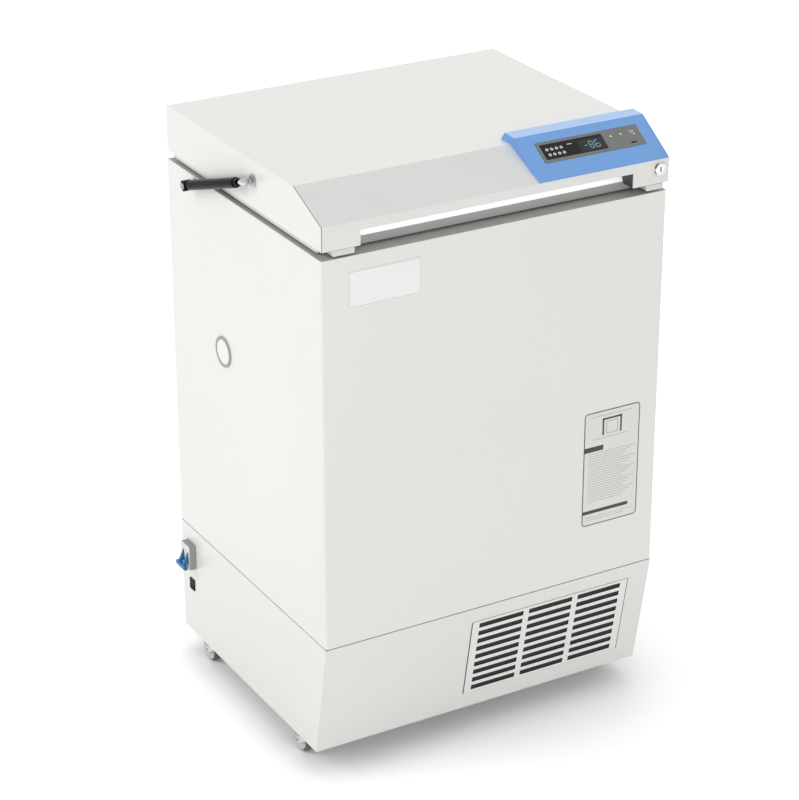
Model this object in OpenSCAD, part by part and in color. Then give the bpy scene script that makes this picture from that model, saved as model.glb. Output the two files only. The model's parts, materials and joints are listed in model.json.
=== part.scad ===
// Ultra low temperature chest freezer with a top-opening lid.
// Millimetres, +Z up, front facing -Y, origin on the floor below the middle.

/* [Cabinet] */
// Width of the cabinet and the lid
body_w = 657; // [620:1:720]
// Depth of the cabinet from front face to back face
body_d = 560; // [530:1:620]
// Height of the cabinet above the base
cabinet_h = 698; // [660:1:760]
// Thickness of the painted steel sheet
sheet_t = 1.2; // [0.8:0.1:2]
// Outer radius of the cabinet's upright bends
bend_r = 4; // [3:0.5:8]
// Width of the flange turned in at the cabinet's foot
foot_flange_w = 15; // [10:1:20]
// Height of the machine space that reaches up into the cabinet
bulkhead_rise = 101; // [80:1:130]
// Depth of the flange turned down round the bulkhead
bulkhead_flange = 18; // [12:1:30]

/* [Base] */
// Height of the base skirt
base_h = 222; // [200:1:260]
// Clearance between the skirt and the floor
floor_gap = 49; // [47:1:60]
// How far the skirt's front slopes back at its lower edge
skirt_slope = 42; // [30:1:50]
// Shadow gap between the skirt and the cabinet
seam_gap = 1.6; // [1:0.1:3]
// Width of the flange turned in at the skirt's lower edge
skirt_flange_w = 14; // [8:1:16]
// Side of the square tube of the base frame
frame_tube = 20; // [16:1:22]
// Thickness of the base pan
pan_t = 3; // [2:0.5:4]
// How far the pan's underside sits above the skirt's lower edge
pan_recess = 12; // [10:1:16]

/* [Chamber] */
// Inside width of the storage chamber
chamber_w = 430; // [380:1:460]
// Inside depth of the storage chamber, front to back
chamber_d = 305; // [270:1:330]
// Depth of the chamber below the lid's plug
chamber_h = 425; // [380:1:440]
// Thickness of the chamber liner
liner_t = 1.2; // [0.8:0.1:2]
// Inside radius of the chamber's upright corners
liner_r = 25; // [15:1:40]
// Width of the liner's turned-out flange
liner_flange_w = 14; // [8:1:20]
// Thickness of the collar round the mouth
collar_t = 12; // [8:1:16]
// Height of the flat-sided evaporator tube
coil_h = 8; // [6:0.5:10]
// Spacing of the evaporator's turns
coil_pitch = 60; // [56:1:70]

/* [Lid] */
// Gap between the cabinet top and the lid shell
lid_gap = 15.5; // [14:0.5:18]
// Height of the lid shell
lid_h = 82; // [76:1:95]
// Height of the lid's upright front lip
lip_h = 42; // [38:1:48]
// How far back the lid's front slope reaches
slope_d = 92; // [80:1:110]
// How far the lid's lip overhangs the cabinet front
lid_overhang = 2; // [1:0.5:4]
// How far the lid's back stands inside the cabinet back
lid_back_inset = 2; // [1:0.5:5]
// Thickness of the lid's front fascia
fascia_t = 2; // [1.5:0.1:3]
// Width of the flange turned in round the lid's foot
lid_flange_w = 12; // [8:1:14]
// How far the plug reaches down into the mouth
plug_depth = 45; // [35:1:60]
// Clearance between the plug and the mouth
plug_gap = 10; // [8:1:16]
// Wall of the moulded inner pan
pan_wall = 2.5; // [2:0.1:3.5]
// How far the lid frame stands in from the sides
frame_inset = 8; // [6:0.5:10]
// How far the lid frame stands behind the cabinet front
frame_front = 29; // [18:0.5:32]
// Width of the lid frame's members
frame_w = 12; // [10:0.5:16]
// How far the lid frame hangs below the lid shell
frame_drop = 11.5; // [10:0.5:12.5]
// Width of the gasket
gasket_w = 16; // [12:1:20]
// Gap between the lid frame and the gasket
gasket_inset = 6; // [4:0.5:8]

/* [Grip] */
// Width of the hand grip cut out of the lip
grip_w = 517; // [400:1:530]
// Height of the hand grip cut-out
grip_h = 25.7; // [22:0.1:30]
// Thickness of the grip channel's walls
grip_t = 2; // [1.6:0.1:3]
// Height of the grip channel's upright back above the lid's foot
grip_back_h = 3; // [3:0.5:8]
// How far the grip channel's back slants away
grip_slant = 10; // [6:0.5:12]
// Width of the two blocks under the lip
block_w = 41; // [30:1:44]
// Distance from the lid's side to the left block
block_left_inset = 20; // [16:1:24]
// Distance from the lid's side to the right block
block_right_inset = 7.5; // [7:0.5:10]
// Radius of the blocks' rounded lower corners
block_r = 4; // [2:0.5:5]

/* [Console] */
// Width of the control console
console_w = 255; // [220:1:300]
// Depth of the console's sloping face, seen from above
console_face_d = 80; // [70:1:90]
// Height of the console's front edge above the lip
console_edge_h = 2; // [1.5:0.1:4]
// How far the console rises above the lid
console_rise = 14.5; // [10:0.5:20]
// Drop of the console's top strip towards the front
console_top_drop = 1.2; // [0.5:0.1:3]
// Width of the console's top strip
console_top_w = 29; // [20:1:40]
// Run of the console's sloping back
console_back_run = 12; // [6:1:20]
// Run of the console's bevelled left side
console_side_run = 4; // [2:0.5:8]
// Wall of the console
console_wall = 2.5; // [2:0.1:3.5]
// Width of the control panel
panel_w = 200; // [160:1:210]
// Height of the control panel along the sloping face
panel_h = 43; // [36:1:50]
// Thickness of the control panel
panel_t = 1.5; // [1:0.1:2]
// Corner radius of the control panel
panel_corner = 1.5; // [1:0.1:4]
// Distance from the right side to the control panel
panel_right = 25.5; // [20:0.5:30]
// Distance up the sloping face to the control panel
panel_low = 34; // [25:0.5:38]
// Width of the display window
display_w = 121; // [90:1:130]
// Height of the display window
display_h = 31.5; // [24:0.5:34]
// Distance from the panel's edges to the display window
display_edge = 6; // [4:0.5:8]

/* [Lock] */
// Diameter of the lock's collar
lock_d = 21; // [18:0.5:24]
// How far the lock stands out past the lip
lock_proud = 4; // [3:0.5:6]
// Distance from the right side to the lock
lock_right = 17.8; // [16:0.1:19]
// Height of the lock above the lip's lower edge
lock_up = 25.3; // [24:0.1:27]
// Diameter of the lock's turning core
core_d = 15; // [13:0.5:16]
// Length of the lock's body behind the lip
lock_body_l = 12; // [10:0.5:13]
// Width of the lock's cam
cam_w = 12; // [9:0.5:12]
// Thickness of the lock's cam
cam_t = 2.5; // [2:0.1:3]
// How far the locked cam reaches into the collar
cam_bite = 5; // [3:0.5:7]

/* [Struts] */
// How far the struts and the breaker lever stand out past each side
side_reach = 25; // [24:0.5:30]
// Diameter of the gas strut's tube
strut_tube_d = 18; // [16:0.5:19]
// Diameter of the gas strut's rod
strut_rod_d = 8; // [6:0.5:10]
// Distance from the cabinet front to the strut's lid end
strut_lid_y = 229.5; // [220:0.5:240]
// Height of the strut's lid end above the lid's foot
strut_lid_up = 48; // [42:0.5:54]
// Distance from the cabinet front to the strut's cabinet end
strut_cab_y = 451; // [440:1:460]
// Depth of the strut's cabinet end below the cabinet top
strut_cab_down = 12.5; // [12:0.5:20]
// Diameter of the end fittings of the strut
strut_end_d = 19; // [18:0.5:20]
// Rod left in sight when the lid is shut
strut_rod_show = 13; // [10:0.5:20]

/* [Hinges] */
// Distance from the middle to each hinge
hinge_x = 210; // [150:1:240]
// Distance from the cabinet back to the hinge pin
hinge_back = 12; // [10:0.5:16]
// Diameter of the hinge pin
pin_d = 8; // [6:0.5:9]
// Diameter of the hinge barrels
barrel_d = 15; // [13:0.5:18]
// Width of each hinge
hinge_w = 64; // [50:1:80]
// Thickness of the hinge leaves
leaf_t = 3; // [2.5:0.5:4]
// Length of each hinge leaf
leaf_l = 58; // [50:1:70]
// Running clearance of pins and shafts, on the radius
running = 0.05; // [0.03:0.01:0.09]
// Gap left between parts that move past each other
free_gap = 0.5; // [0.4:0.1:0.8]

/* [Back] */
// How far the wall spacers hold the back off a wall
rear_reach = 40; // [32:1:60]
// Width of each wall spacer at its root
spacer_w = 60; // [40:1:80]
// Height of each wall spacer at its root
spacer_h = 44; // [30:1:60]
// Distance from the middle to each wall spacer
spacer_x = 262; // [240:1:280]

/* [Grille] */
// Width of the grille panel
grille_w = 322; // [280:1:330]
// Height of the grille panel along the slope
grille_h = 161; // [160:1:170]
// Distance from the middle to the middle of the grille
grille_x = 123.5; // [100:0.5:135]
// Columns of slots
slot_cols = 3; // [2:1:4]
// Rows of slots
slot_rows = 9; // [7:1:10]
// Rim of the grille beside the slots
grille_rim_x = 15.1; // [8:0.1:20]
// Rim of the grille above and below the slots
grille_rim_y = 5.5; // [4:0.1:12]
// Width of the bars between the columns
slot_bar_x = 13; // [8:0.5:18]
// Height of the bars between the rows
slot_bar_y = 7.5; // [6:0.1:11]
// Thickness of the grille panel
grille_t = 1.5; // [1.2:0.1:3]
// How far the grille stands proud of the skirt
grille_proud = 0.8; // [0.4:0.1:1.5]
// Wall left round the slots on the back of the grille
hatch_wall = 2; // [1.5:0.1:3]

/* [Machine] */
// Diameter of the compressor's can
compressor_d = 160; // [140:1:180]
// Height of the compressor's can
compressor_h = 205; // [170:1:230]
// Height of the rubber feet under the compressor's can
compressor_foot_h = 22; // [16:1:30]
// Distance from the cabinet's side to the compressor's middle
compressor_side = 150; // [145:1:160]
// Distance from the cabinet's back to the compressor's middle
compressor_back = 150; // [140:1:160]
// Width of the electrical box
ebox_w = 150; // [120:1:160]
// Depth of the electrical box, front to back
ebox_d = 110; // [80:1:120]
// Height of the electrical box
ebox_h = 150; // [110:1:160]
// Distance from the frame's tube to the electrical box
ebox_side = 60; // [50:1:70]
// Distance from the cabinet's back to the electrical box
ebox_back = 100; // [90:1:110]
// Width of the condenser's fin block
condenser_w = 300; // [260:1:310]
// Height of the condenser's fin block
condenser_h = 190; // [160:1:200]
// Depth of the condenser's fin block
condenser_d = 44; // [30:1:50]
// Fins in the condenser
fin_count = 22; // [12:1:26]
// Diameter of the fan's sweep
fan_d = 172; // [150:1:176]
// Blades of the fan
fan_blades_n = 5; // [4:1:7]
// Depth of the fan's blades
fan_blade_d = 26; // [18:1:30]
// Outer diameter of the refrigerant pipes
pipe_d = 8; // [6:0.5:10]

/* [Side controls] */
// Width of the breaker, front to back
breaker_w = 35.4; // [34:0.1:37]
// Height of the breaker
breaker_h = 49.5; // [44:0.5:54]
// How far the breaker's case stands out of the side
breaker_proud = 13; // [10:0.5:15]
// Distance from the cabinet back to the breaker's middle
breaker_back = 39.6; // [39:0.1:60]
// Height of the breaker's middle above the skirt's lower edge
breaker_z = 164.6; // [150:0.1:170]
// Width of the rocker switch, front to back
rocker_w = 19; // [16:0.5:22]
// Height of the rocker switch
rocker_h = 22.5; // [20:0.5:26]
// Height of the rocker switch's middle above the skirt's lower edge
rocker_z = 101.8; // [90:0.1:110]

/* [Access port] */
// Outer diameter of the port's ring
port_ring_d = 55.5; // [52:0.5:60]
// Bore of the port
port_bore = 40.6; // [36:0.2:42]
// Distance from the cabinet front to the port
port_y = 358.5; // [340:0.5:380]
// Height of the port above the base
port_z = 409.5; // [390:0.5:430]
// How far the port's ring stands out of the side
port_proud = 2.5; // [1.5:0.1:4]

/* [Casters] */
// Diameter of the caster wheels
wheel_d = 45; // [40:1:46]
// Width of the caster wheels
wheel_w = 18; // [15:0.5:18]
// How far the wheel trails its swivel
caster_trail = 20; // [16:0.5:20]
// Side of the caster's square top plate
caster_plate_w = 46; // [40:1:48]
// Distance from the side to the swivel
caster_x = 24.5; // [24.5:0.1:30]
// Distance from the cabinet front to the front swivels
caster_front_y = 152; // [120:1:170]
// Distance from the cabinet back to the rear swivels
caster_rear_y = 47; // [46:1:60]
// Diameter of the wheel axles
axle_d = 6; // [5:0.5:8]

/* [Hidden] */
$fn = 48;

CASTERS = ["front_left", "front_right", "rear_left", "rear_right"];

// Overall places
total_d = lock_proud + lid_overhang + body_d + rear_reach;
front = -total_d / 2 + lock_proud + lid_overhang;
back = front + body_d;
side = body_w / 2;
seam_z = floor_gap + base_h;
top_z = seam_z + cabinet_h;
lid_z = top_z + lid_gap;
lip_z = lid_z + lip_h;
lid_top = lid_z + lid_h;
lip_y = front - lid_overhang;
lid_back = back - lid_back_inset;
ridge_y = lip_y + slope_d;
slope_a = atan2(lid_h - lip_h, slope_d);
touch = 0.01;
seat_gap = 0.3;

// Points along an arc round c, and a rectangle with round corners
function arc(c, r, a0, a1, n = 4) =
    [for (i = [0:n]) let (a = a0 + (a1 - a0) * i / n) c + r * [cos(a), sin(a)]];
function round_rect(w, h, r, n = 4) = concat(
    arc([w / 2 - r, h / 2 - r], r, 0, 90, n),
    arc([r - w / 2, h / 2 - r], r, 90, 180, n),
    arc([r - w / 2, r - h / 2], r, 180, 270, n),
    arc([w / 2 - r, r - h / 2], r, 270, 360, n));

// Extrudes a profile drawn in Y and Z along X, or one in X and Z along Y
module along_x(x0, x1) {
    translate([x0, 0, 0]) rotate([90, 0, 90]) linear_extrude(x1 - x0) children();
}
module along_y(y0, y1) {
    translate([0, y1, 0]) rotate([90, 0, 0]) linear_extrude(y1 - y0) children();
}
module block(lo, hi) {
    translate(lo) cube(hi - lo);
}
module both_sides() {
    children();
    mirror([1, 0, 0]) children();
}
// A round bar along X or Y, from one end to the other
module bar_x(x0, x1, d, y, z) {
    translate([x0, y, z]) rotate([0, 90, 0]) cylinder(d = d, h = x1 - x0);
}
module bar_y(y0, y1, d, x, z) {
    translate([x, y0, z]) rotate([-90, 0, 0]) cylinder(d = d, h = y1 - y0);
}

// Cabinet

// A sheet bent round the front and both sides, seen from above
function wrap(r, t) = concat(
    [[-side, back]],
    arc([r - side, front + r], r, 180, 270),
    arc([side - r, front + r], r, 270, 360),
    [[side, back], [side - t, back]],
    arc([side - r, front + r], r - t, 360, 270),
    arc([r - side, front + r], r - t, 270, 180),
    [[t - side, back]]);

port_tube_d = port_bore + 5.4;
port_c = [front + port_y, seam_z + port_z];

module cabinet_wrapper() {
    color("whitesmoke") difference() {
        union() {
            translate([0, 0, seam_z]) linear_extrude(cabinet_h) polygon(wrap(bend_r, sheet_t));
            both_sides() block([side - foot_flange_w, front + bend_r, seam_z],
                               [side - sheet_t / 2, back - sheet_t, seam_z + sheet_t]);
            block([bend_r - side, front + sheet_t / 2, seam_z],
                  [side - bend_r, front + foot_flange_w, seam_z + sheet_t]);
        }
        bar_x(-side - 1, -side + sheet_t + 1, port_tube_d, port_c.x, port_c.y);
    }
}

module cabinet_back_panel() {
    lap = 16;
    color("whitesmoke") union() {
        block([sheet_t - side, back - sheet_t, seam_z], [side - sheet_t, back, top_z]);
        both_sides() block([side - sheet_t - lap, back - 2 * sheet_t, seam_z + sheet_t],
                           [side - sheet_t, back - sheet_t, bulkhead_z - bulkhead_flange]);
    }
}

bulkhead_z = seam_z + bulkhead_rise;

module cabinet_bulkhead() {
    lo = [sheet_t - side, front + sheet_t, bulkhead_z - bulkhead_flange];
    hi = [side - sheet_t, back - sheet_t, bulkhead_z + sheet_t];
    corner_r = bend_r - sheet_t + 0.6;
    color("gainsboro") difference() {
        block(lo, hi);
        block(lo + [sheet_t, sheet_t, -1], hi - [sheet_t, sheet_t, sheet_t]);
        for (sx = [-1, 1])
            translate([sx * (hi.x - corner_r), lo.y + corner_r, lo.z - 1]) difference() {
                translate([sx * corner_r / 2 + sx, -corner_r / 2 - 1, bulkhead_flange / 2 + 2])
                    cube([corner_r + 2, corner_r + 2, bulkhead_flange + 6], center = true);
                cylinder(r = corner_r, h = bulkhead_flange + 6);
            }
    }
}

// Chamber
mouth_y = (front + back) / 2;
collar_z = top_z - collar_t;
plug_z = top_z - plug_depth;
floor_z = plug_z - chamber_h;
liner_floor_t = 1.5;

module chamber_outline(grow) {
    translate([0, mouth_y])
        polygon(round_rect(chamber_w + 2 * grow, chamber_d + 2 * grow, liner_r + grow));
}

module chamber_liner() {
    color("silver") difference() {
        union() {
            translate([0, 0, floor_z - liner_floor_t])
                linear_extrude(collar_z - floor_z + liner_floor_t) chamber_outline(liner_t);
            translate([0, 0, collar_z - liner_t])
                linear_extrude(liner_t) chamber_outline(liner_flange_w);
        }
        translate([0, 0, floor_z]) linear_extrude(chamber_h + plug_depth) chamber_outline(0);
        bar_x(-chamber_w / 2 - 5, -chamber_w / 2 + 5, port_tube_d, port_c.x, port_c.y);
    }
}

// The turns lie on either side of the access port and stop at the plug
coil_levels = [for (i = [-8:7])
    let (z = port_c.y + (i + 0.5) * coil_pitch - coil_h / 2)
    if (z > floor_z + coil_h && z + 2 * coil_h < plug_z) z];

module coil_turn(z) {
    translate([0, 0, z]) linear_extrude(coil_h) difference() {
        chamber_outline(liner_t + coil_h);
        chamber_outline(liner_t);
    }
}

module evaporator_coil() {
    color("peru") for (z = coil_levels) coil_turn(z);
}

module cabinet_foam() {
    lo = [sheet_t - side, front + sheet_t, bulkhead_z + sheet_t];
    color("khaki") difference() {
        intersection() {
            block(lo, [side - sheet_t, back - sheet_t, collar_z]);
            translate([0, 0, seam_z]) linear_extrude(cabinet_h) polygon(inside_wrap);
        }
        translate([0, 0, floor_z - liner_floor_t])
            linear_extrude(cabinet_h) chamber_outline(liner_t);
        translate([0, 0, collar_z - liner_t])
            linear_extrude(cabinet_h) chamber_outline(liner_flange_w);
        for (z = coil_levels) coil_turn(z);
        bar_x(-side, -chamber_w / 2, port_tube_d, port_c.x, port_c.y);
    }
}

// The room inside the wrapper, with its rounded front corners
inside_wrap = concat(
    [[sheet_t - side, back - sheet_t]],
    arc([bend_r - side, front + bend_r], bend_r - sheet_t, 180, 270),
    arc([side - bend_r, front + bend_r], bend_r - sheet_t, 270, 360),
    [[side - sheet_t, back - sheet_t]]);

// The cam drops through this slot when the lock is turned
cam_y0 = front + lock_body_l + 0.3;
cam_l = lock_up + lid_gap + cam_bite;
cam_slack = 1.4;
lock_x = side - lock_right;
slot_x0 = lock_x - cam_l * 0.62;
slot_x1 = lock_x + cam_w / 2 + cam_slack;
slot_y0 = cam_y0 - cam_slack / 2;
slot_y1 = cam_y0 + cam_t + cam_slack / 2;

module mouth_collar() {
    color("white") difference() {
        translate([0, 0, collar_z]) linear_extrude(collar_t) polygon(inside_wrap);
        translate([0, 0, collar_z - 1]) linear_extrude(collar_t + 2) chamber_outline(0);
        block([slot_x0, slot_y0, collar_z - 1], [slot_x1, slot_y1, top_z + 1]);
    }
}

// Access port
port_head_d = port_bore + 4.4;
port_head_t = 3.2;

module port_sleeve() {
    color("dimgray") difference() {
        union() {
            bar_x(-side - port_proud, -side, port_ring_d, port_c.x, port_c.y);
            bar_x(-side - touch, -chamber_w / 2, port_tube_d, port_c.x, port_c.y);
        }
        bar_x(-side - port_proud - 1, -chamber_w / 2 + 1, port_bore, port_c.x, port_c.y);
        bar_x(-side - port_proud - 1, -side - port_proud + port_head_t + seat_gap,
              port_head_d + 2 * seat_gap, port_c.x, port_c.y);
    }
}

module port_plug() {
    x0 = -side - port_proud + seat_gap;
    body_x = x0 + port_head_t;
    color("white") difference() {
        union() {
            bar_x(x0, body_x, port_head_d, port_c.x, port_c.y);
            bar_x(body_x - touch, -chamber_w / 2 - 3, port_bore - 2 * seat_gap, port_c.x, port_c.y);
        }
        bar_x(-side + 30, 0, port_bore - 16, port_c.x, port_c.y);
    }
}

// Hinges
hinge_y = back + hinge_back;
hinge_z = top_z + lid_gap / 2;
barrel_l = (hinge_w - 2 * free_gap) / 3;

// A knuckle on the hinge line, with a web that runs to the leaf
module knuckle(x0, l, web_y, web_z) {
    bar_x(x0, x0 + l, barrel_d, hinge_y, hinge_z);
    block([x0, web_y, web_z], [x0 + l, hinge_y, web_z + leaf_t]);
}

module leaf(y, z0, z1, hole_z) {
    difference() {
        block([-hinge_w / 2, y, z0], [hinge_w / 2, y + leaf_t, z1]);
        for (z = hole_z, px = [-0.32, 0.32])
            bar_y(y - 1, y + leaf_t + 1, 5.5, px * hinge_w, z);
    }
}

// The pin is fixed in the outer two knuckles
module hinge_cabinet_leaves() {
    low = hinge_z - barrel_d / 2;
    x0 = -hinge_w / 2;
    color("lightgray") for (sx = [-1, 1]) translate([sx * hinge_x, 0, 0]) union() {
        leaf(back, top_z - leaf_l, low + leaf_t, [top_z - 0.3 * leaf_l, top_z - 0.75 * leaf_l]);
        for (bx = [x0, -x0 - barrel_l]) knuckle(bx, barrel_l, back + 1, low);
        bar_x(x0 - 2, -x0 + 2, pin_d, hinge_y, hinge_z);
    }
}

module lid_hinge_leaves() {
    z0 = lid_z + 4;
    web_z = hinge_z + barrel_d / 2 - leaf_t;
    color("lightgray") for (sx = [-1, 1]) translate([sx * hinge_x, 0, 0]) difference() {
        union() {
            leaf(lid_back, z0, z0 + leaf_l, [z0 + 0.35 * leaf_l, z0 + 0.8 * leaf_l]);
            block([-barrel_l / 2, lid_back, web_z], [barrel_l / 2, lid_back + leaf_t, z0 + 1]);
            knuckle(-barrel_l / 2, barrel_l, lid_back + 1, web_z);
        }
        bar_x(-barrel_l, barrel_l, pin_d + 2 * running, hinge_y, hinge_z);
    }
}

// Wall spacers
module wall_spacers() {
    z = top_z - 90;
    nose = 0.6;
    color("gray") for (sx = [-1, 1]) translate([sx * spacer_x, 0, 0]) difference() {
        intersection() {
            along_x(-spacer_w / 2, spacer_w / 2) polygon([
                [back, z - spacer_h / 2], [back + rear_reach, z - nose * spacer_h / 2],
                [back + rear_reach, z + nose * spacer_h / 2], [back, z + spacer_h / 2]]);
            translate([0, 0, z - spacer_h]) linear_extrude(2 * spacer_h) polygon([
                [-spacer_w / 2, back], [spacer_w / 2, back],
                [nose * spacer_w / 2, back + rear_reach], [-nose * spacer_w / 2, back + rear_reach]]);
        }
        bar_y(back - 1, back + rear_reach - 5, 12, 0, z);
    }
}

// Base

frame_z = seam_z - frame_tube;
pan_z = floor_gap + pan_recess;
skirt_a = atan2(skirt_slope, base_h);
function skirt_y(z) = front + skirt_slope * (seam_z - z) / base_h;

// Places children on the sloping front, X across, Y up the slope, Z outwards
module on_skirt() {
    translate([0, skirt_y(floor_gap), floor_gap]) rotate([90 + skirt_a, 0, 0]) children();
}
grille_v = base_h / cos(skirt_a) / 2 + 0.4;
hatch_w = grille_w - 2 * grille_rim_x + 2 * hatch_wall;
hatch_h = grille_h - 2 * grille_rim_y + 2 * hatch_wall;
panel_drop = sheet_t / cos(skirt_a);

module base_front_panel() {
    skirt_top = seam_z - seam_gap;
    color("whitesmoke") difference() {
        union() {
            along_x(sheet_t - side, side - sheet_t) polygon([
                [skirt_y(skirt_top), skirt_top], [skirt_y(floor_gap), floor_gap],
                [skirt_y(floor_gap) + panel_drop, floor_gap],
                [skirt_y(skirt_top) + panel_drop, skirt_top]]);
            block([sheet_t - side, skirt_y(floor_gap), floor_gap],
                  [side - sheet_t, skirt_y(floor_gap) + skirt_flange_w, floor_gap + sheet_t]);
        }
        on_skirt() translate([grille_x, grille_v, -6]) linear_extrude(12)
            polygon(round_rect(hatch_w, hatch_h, 3));
    }
}

breaker_c = [back - breaker_back, floor_gap + breaker_z];
rocker_c = [back - breaker_back, floor_gap + rocker_z];
rocker_wall = 3.75;
case_lip = 2.5;
caster_room = 32;

module base_side_panels() {
    skirt_top = seam_z - seam_gap;
    color("whitesmoke") difference() {
        both_sides() union() {
            along_x(side - sheet_t, side) polygon([
                [skirt_y(skirt_top), skirt_top], [skirt_y(floor_gap), floor_gap],
                [back, floor_gap], [back, skirt_top]]);
            block([side - skirt_flange_w, front + caster_front_y + caster_room, floor_gap],
                  [side - touch, back - caster_rear_y - caster_room, floor_gap + sheet_t]);
        }
        along_x(-side - 1, -side + 5) translate([breaker_c.x, breaker_c.y])
            square([breaker_w, breaker_h], center = true);
        along_x(-side - 1, -side + 5) translate([rocker_c.x, rocker_c.y])
            square([rocker_w - 2 * case_lip, rocker_h - 2 * case_lip], center = true);
    }
}

inlet_x = -190;
inlet_z = floor_gap + 130;
inlet_w = 50;
inlet_h = 28;

module base_rear_panel() {
    louvre_w = 130;
    louvre_h = 5;
    louvre_pitch = 14;
    color("whitesmoke") difference() {
        union() {
            block([sheet_t - side, back - sheet_t, floor_gap],
                  [side - sheet_t, back, seam_z - seam_gap]);
            block([sheet_t - side, back - skirt_flange_w, floor_gap],
                  [side - sheet_t, back - touch, floor_gap + sheet_t]);
        }
        along_y(back - 5, back + 1) for (i = [0:7], x = [35, 195])
            translate([x, floor_gap + 60 + i * louvre_pitch])
                polygon(round_rect(louvre_w, louvre_h, louvre_h / 2 - 0.1, 3));
        along_y(back - 5, back + 1) translate([inlet_x, inlet_z])
            square([inlet_w - 6, inlet_h - 6], center = true);
    }
}

post_front = skirt_y(pan_z) + 6;

module base_frame() {
    x1 = side - sheet_t;
    y0 = skirt_y(frame_z) + panel_drop + 0.3;
    y1 = back - sheet_t;
    z0 = pan_z + pan_t;
    color("gray") union() {
        both_sides() {
            block([x1 - frame_tube, y0, frame_z], [x1, y1, seam_z]);
            block([x1 - frame_tube, post_front, z0], [x1, post_front + frame_tube, frame_z + 1]);
            block([x1 - frame_tube, y1 - frame_tube, z0], [x1, y1, frame_z + 1]);
        }
        block([-x1 + 1, y0, frame_z], [x1 - 1, y0 + frame_tube, seam_z]);
        block([-x1 + 1, y1 - frame_tube, frame_z], [x1 - 1, y1, seam_z]);
    }
}

module base_pan() {
    y0 = skirt_y(pan_z) + panel_drop + 0.3;
    color("lightgray") union() {
        block([sheet_t - side, y0, pan_z], [side - sheet_t, back - sheet_t, pan_z + pan_t]);
        block([60 - side, condenser_y - 4, pan_z + pan_t - touch],
              [side - 60, condenser_y + condenser_d + 4, pan_z + pan_t + 4]);
    }
}

// Grille

module front_grille() {
    color("whitesmoke") on_skirt() translate([grille_x, grille_v, 0]) difference() {
        union() {
            linear_extrude(grille_proud) polygon(round_rect(grille_w, grille_h, 1));
            translate([0, 0, grille_proud - grille_t]) linear_extrude(grille_t)
                polygon(round_rect(hatch_w - 2 * seat_gap, hatch_h - 2 * seat_gap, 3));
        }
        translate([0, 0, -grille_t]) linear_extrude(3 * grille_t) slots();
    }
}

module slots() {
    slot_pitch_x = (grille_w - 2 * grille_rim_x + slot_bar_x) / slot_cols;
    slot_pitch_y = (grille_h - 2 * grille_rim_y + slot_bar_y) / slot_rows;
    slot_w = slot_pitch_x - slot_bar_x;
    slot_h = slot_pitch_y - slot_bar_y;
    for (i = [0:slot_cols - 1], j = [0:slot_rows - 1])
        translate([(i - (slot_cols - 1) / 2) * slot_pitch_x, (j - (slot_rows - 1) / 2) * slot_pitch_y])
            polygon(round_rect(slot_w, slot_h, slot_h * 0.38, 2));
}

module condenser_filter() {
    filter_t = 5;
    color("black") on_skirt() translate([grille_x, grille_v, grille_proud - grille_t - filter_t])
        linear_extrude(filter_t) polygon(round_rect(hatch_w, hatch_h, 3));
}

// Machine space

condenser_y = skirt_y(pan_z) + 30;
condenser_x = grille_x - grille_w / 2 + condenser_w / 2;
machine_z = pan_z + pan_t + 4;

module condenser() {
    pitch = condenser_w / (fin_count - 1);
    rows = 3;
    color("silver") translate([condenser_x - condenser_w / 2, condenser_y, machine_z]) union() {
        for (i = [0:fin_count - 1])
            translate([i * pitch - 0.5, 0, i % (fin_count - 1) == 0 ? 0 : 3])
                cube([1, condenser_d, condenser_h - (i % (fin_count - 1) == 0 ? 0 : 6)]);
        for (k = [0:rows - 1])
            bar_x(-6, condenser_w + 6, pipe_d, condenser_d / 2, (k + 0.5) * condenser_h / rows);
    }
}

fan_y = condenser_y + condenser_d + 2;
fan_c = [condenser_x, machine_z + condenser_h / 2];
fan_mid = fan_y + 6 + fan_blade_d / 2;
fan_tip_gap = 4;
motor_y0 = fan_y + fan_blade_d + 12;
motor_l = 42;
fan_shaft_d = 6;

module fan_shroud() {
    ring_d = fan_d + 2 * fan_tip_gap;
    color("dimgray") union() {
        difference() {
            union() {
                block([condenser_x - condenser_w / 2, fan_y, machine_z],
                      [condenser_x + condenser_w / 2, fan_y + 2, machine_z + condenser_h]);
                bar_y(fan_y, fan_y + fan_blade_d + 8, ring_d + 4, fan_c.x, fan_c.y);
            }
            bar_y(fan_y - 1, fan_y + fan_blade_d + 20, ring_d, fan_c.x, fan_c.y);
        }
        difference() {
            union() {
                for (a = [45, 135]) translate([fan_c.x, motor_y0 + 2, fan_c.y]) rotate([0, a, 0])
                    cube([ring_d + 3, 4, 12], center = true);
                for (a = [45:90:315]) translate([fan_c.x, 0, fan_c.y]) rotate([0, a, 0])
                    block([ring_d / 2 + 0.2, fan_y + fan_blade_d + 6, -6], [ring_d / 2 + 1.8, motor_y0 + 4, 6]);
                bar_y(motor_y0, motor_y0 + motor_l, 70, fan_c.x, fan_c.y);
            }
            bar_y(motor_y0 - 1, motor_y0 + motor_l - 4, fan_shaft_d + 2 * running, fan_c.x, fan_c.y);
        }
    }
}

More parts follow.
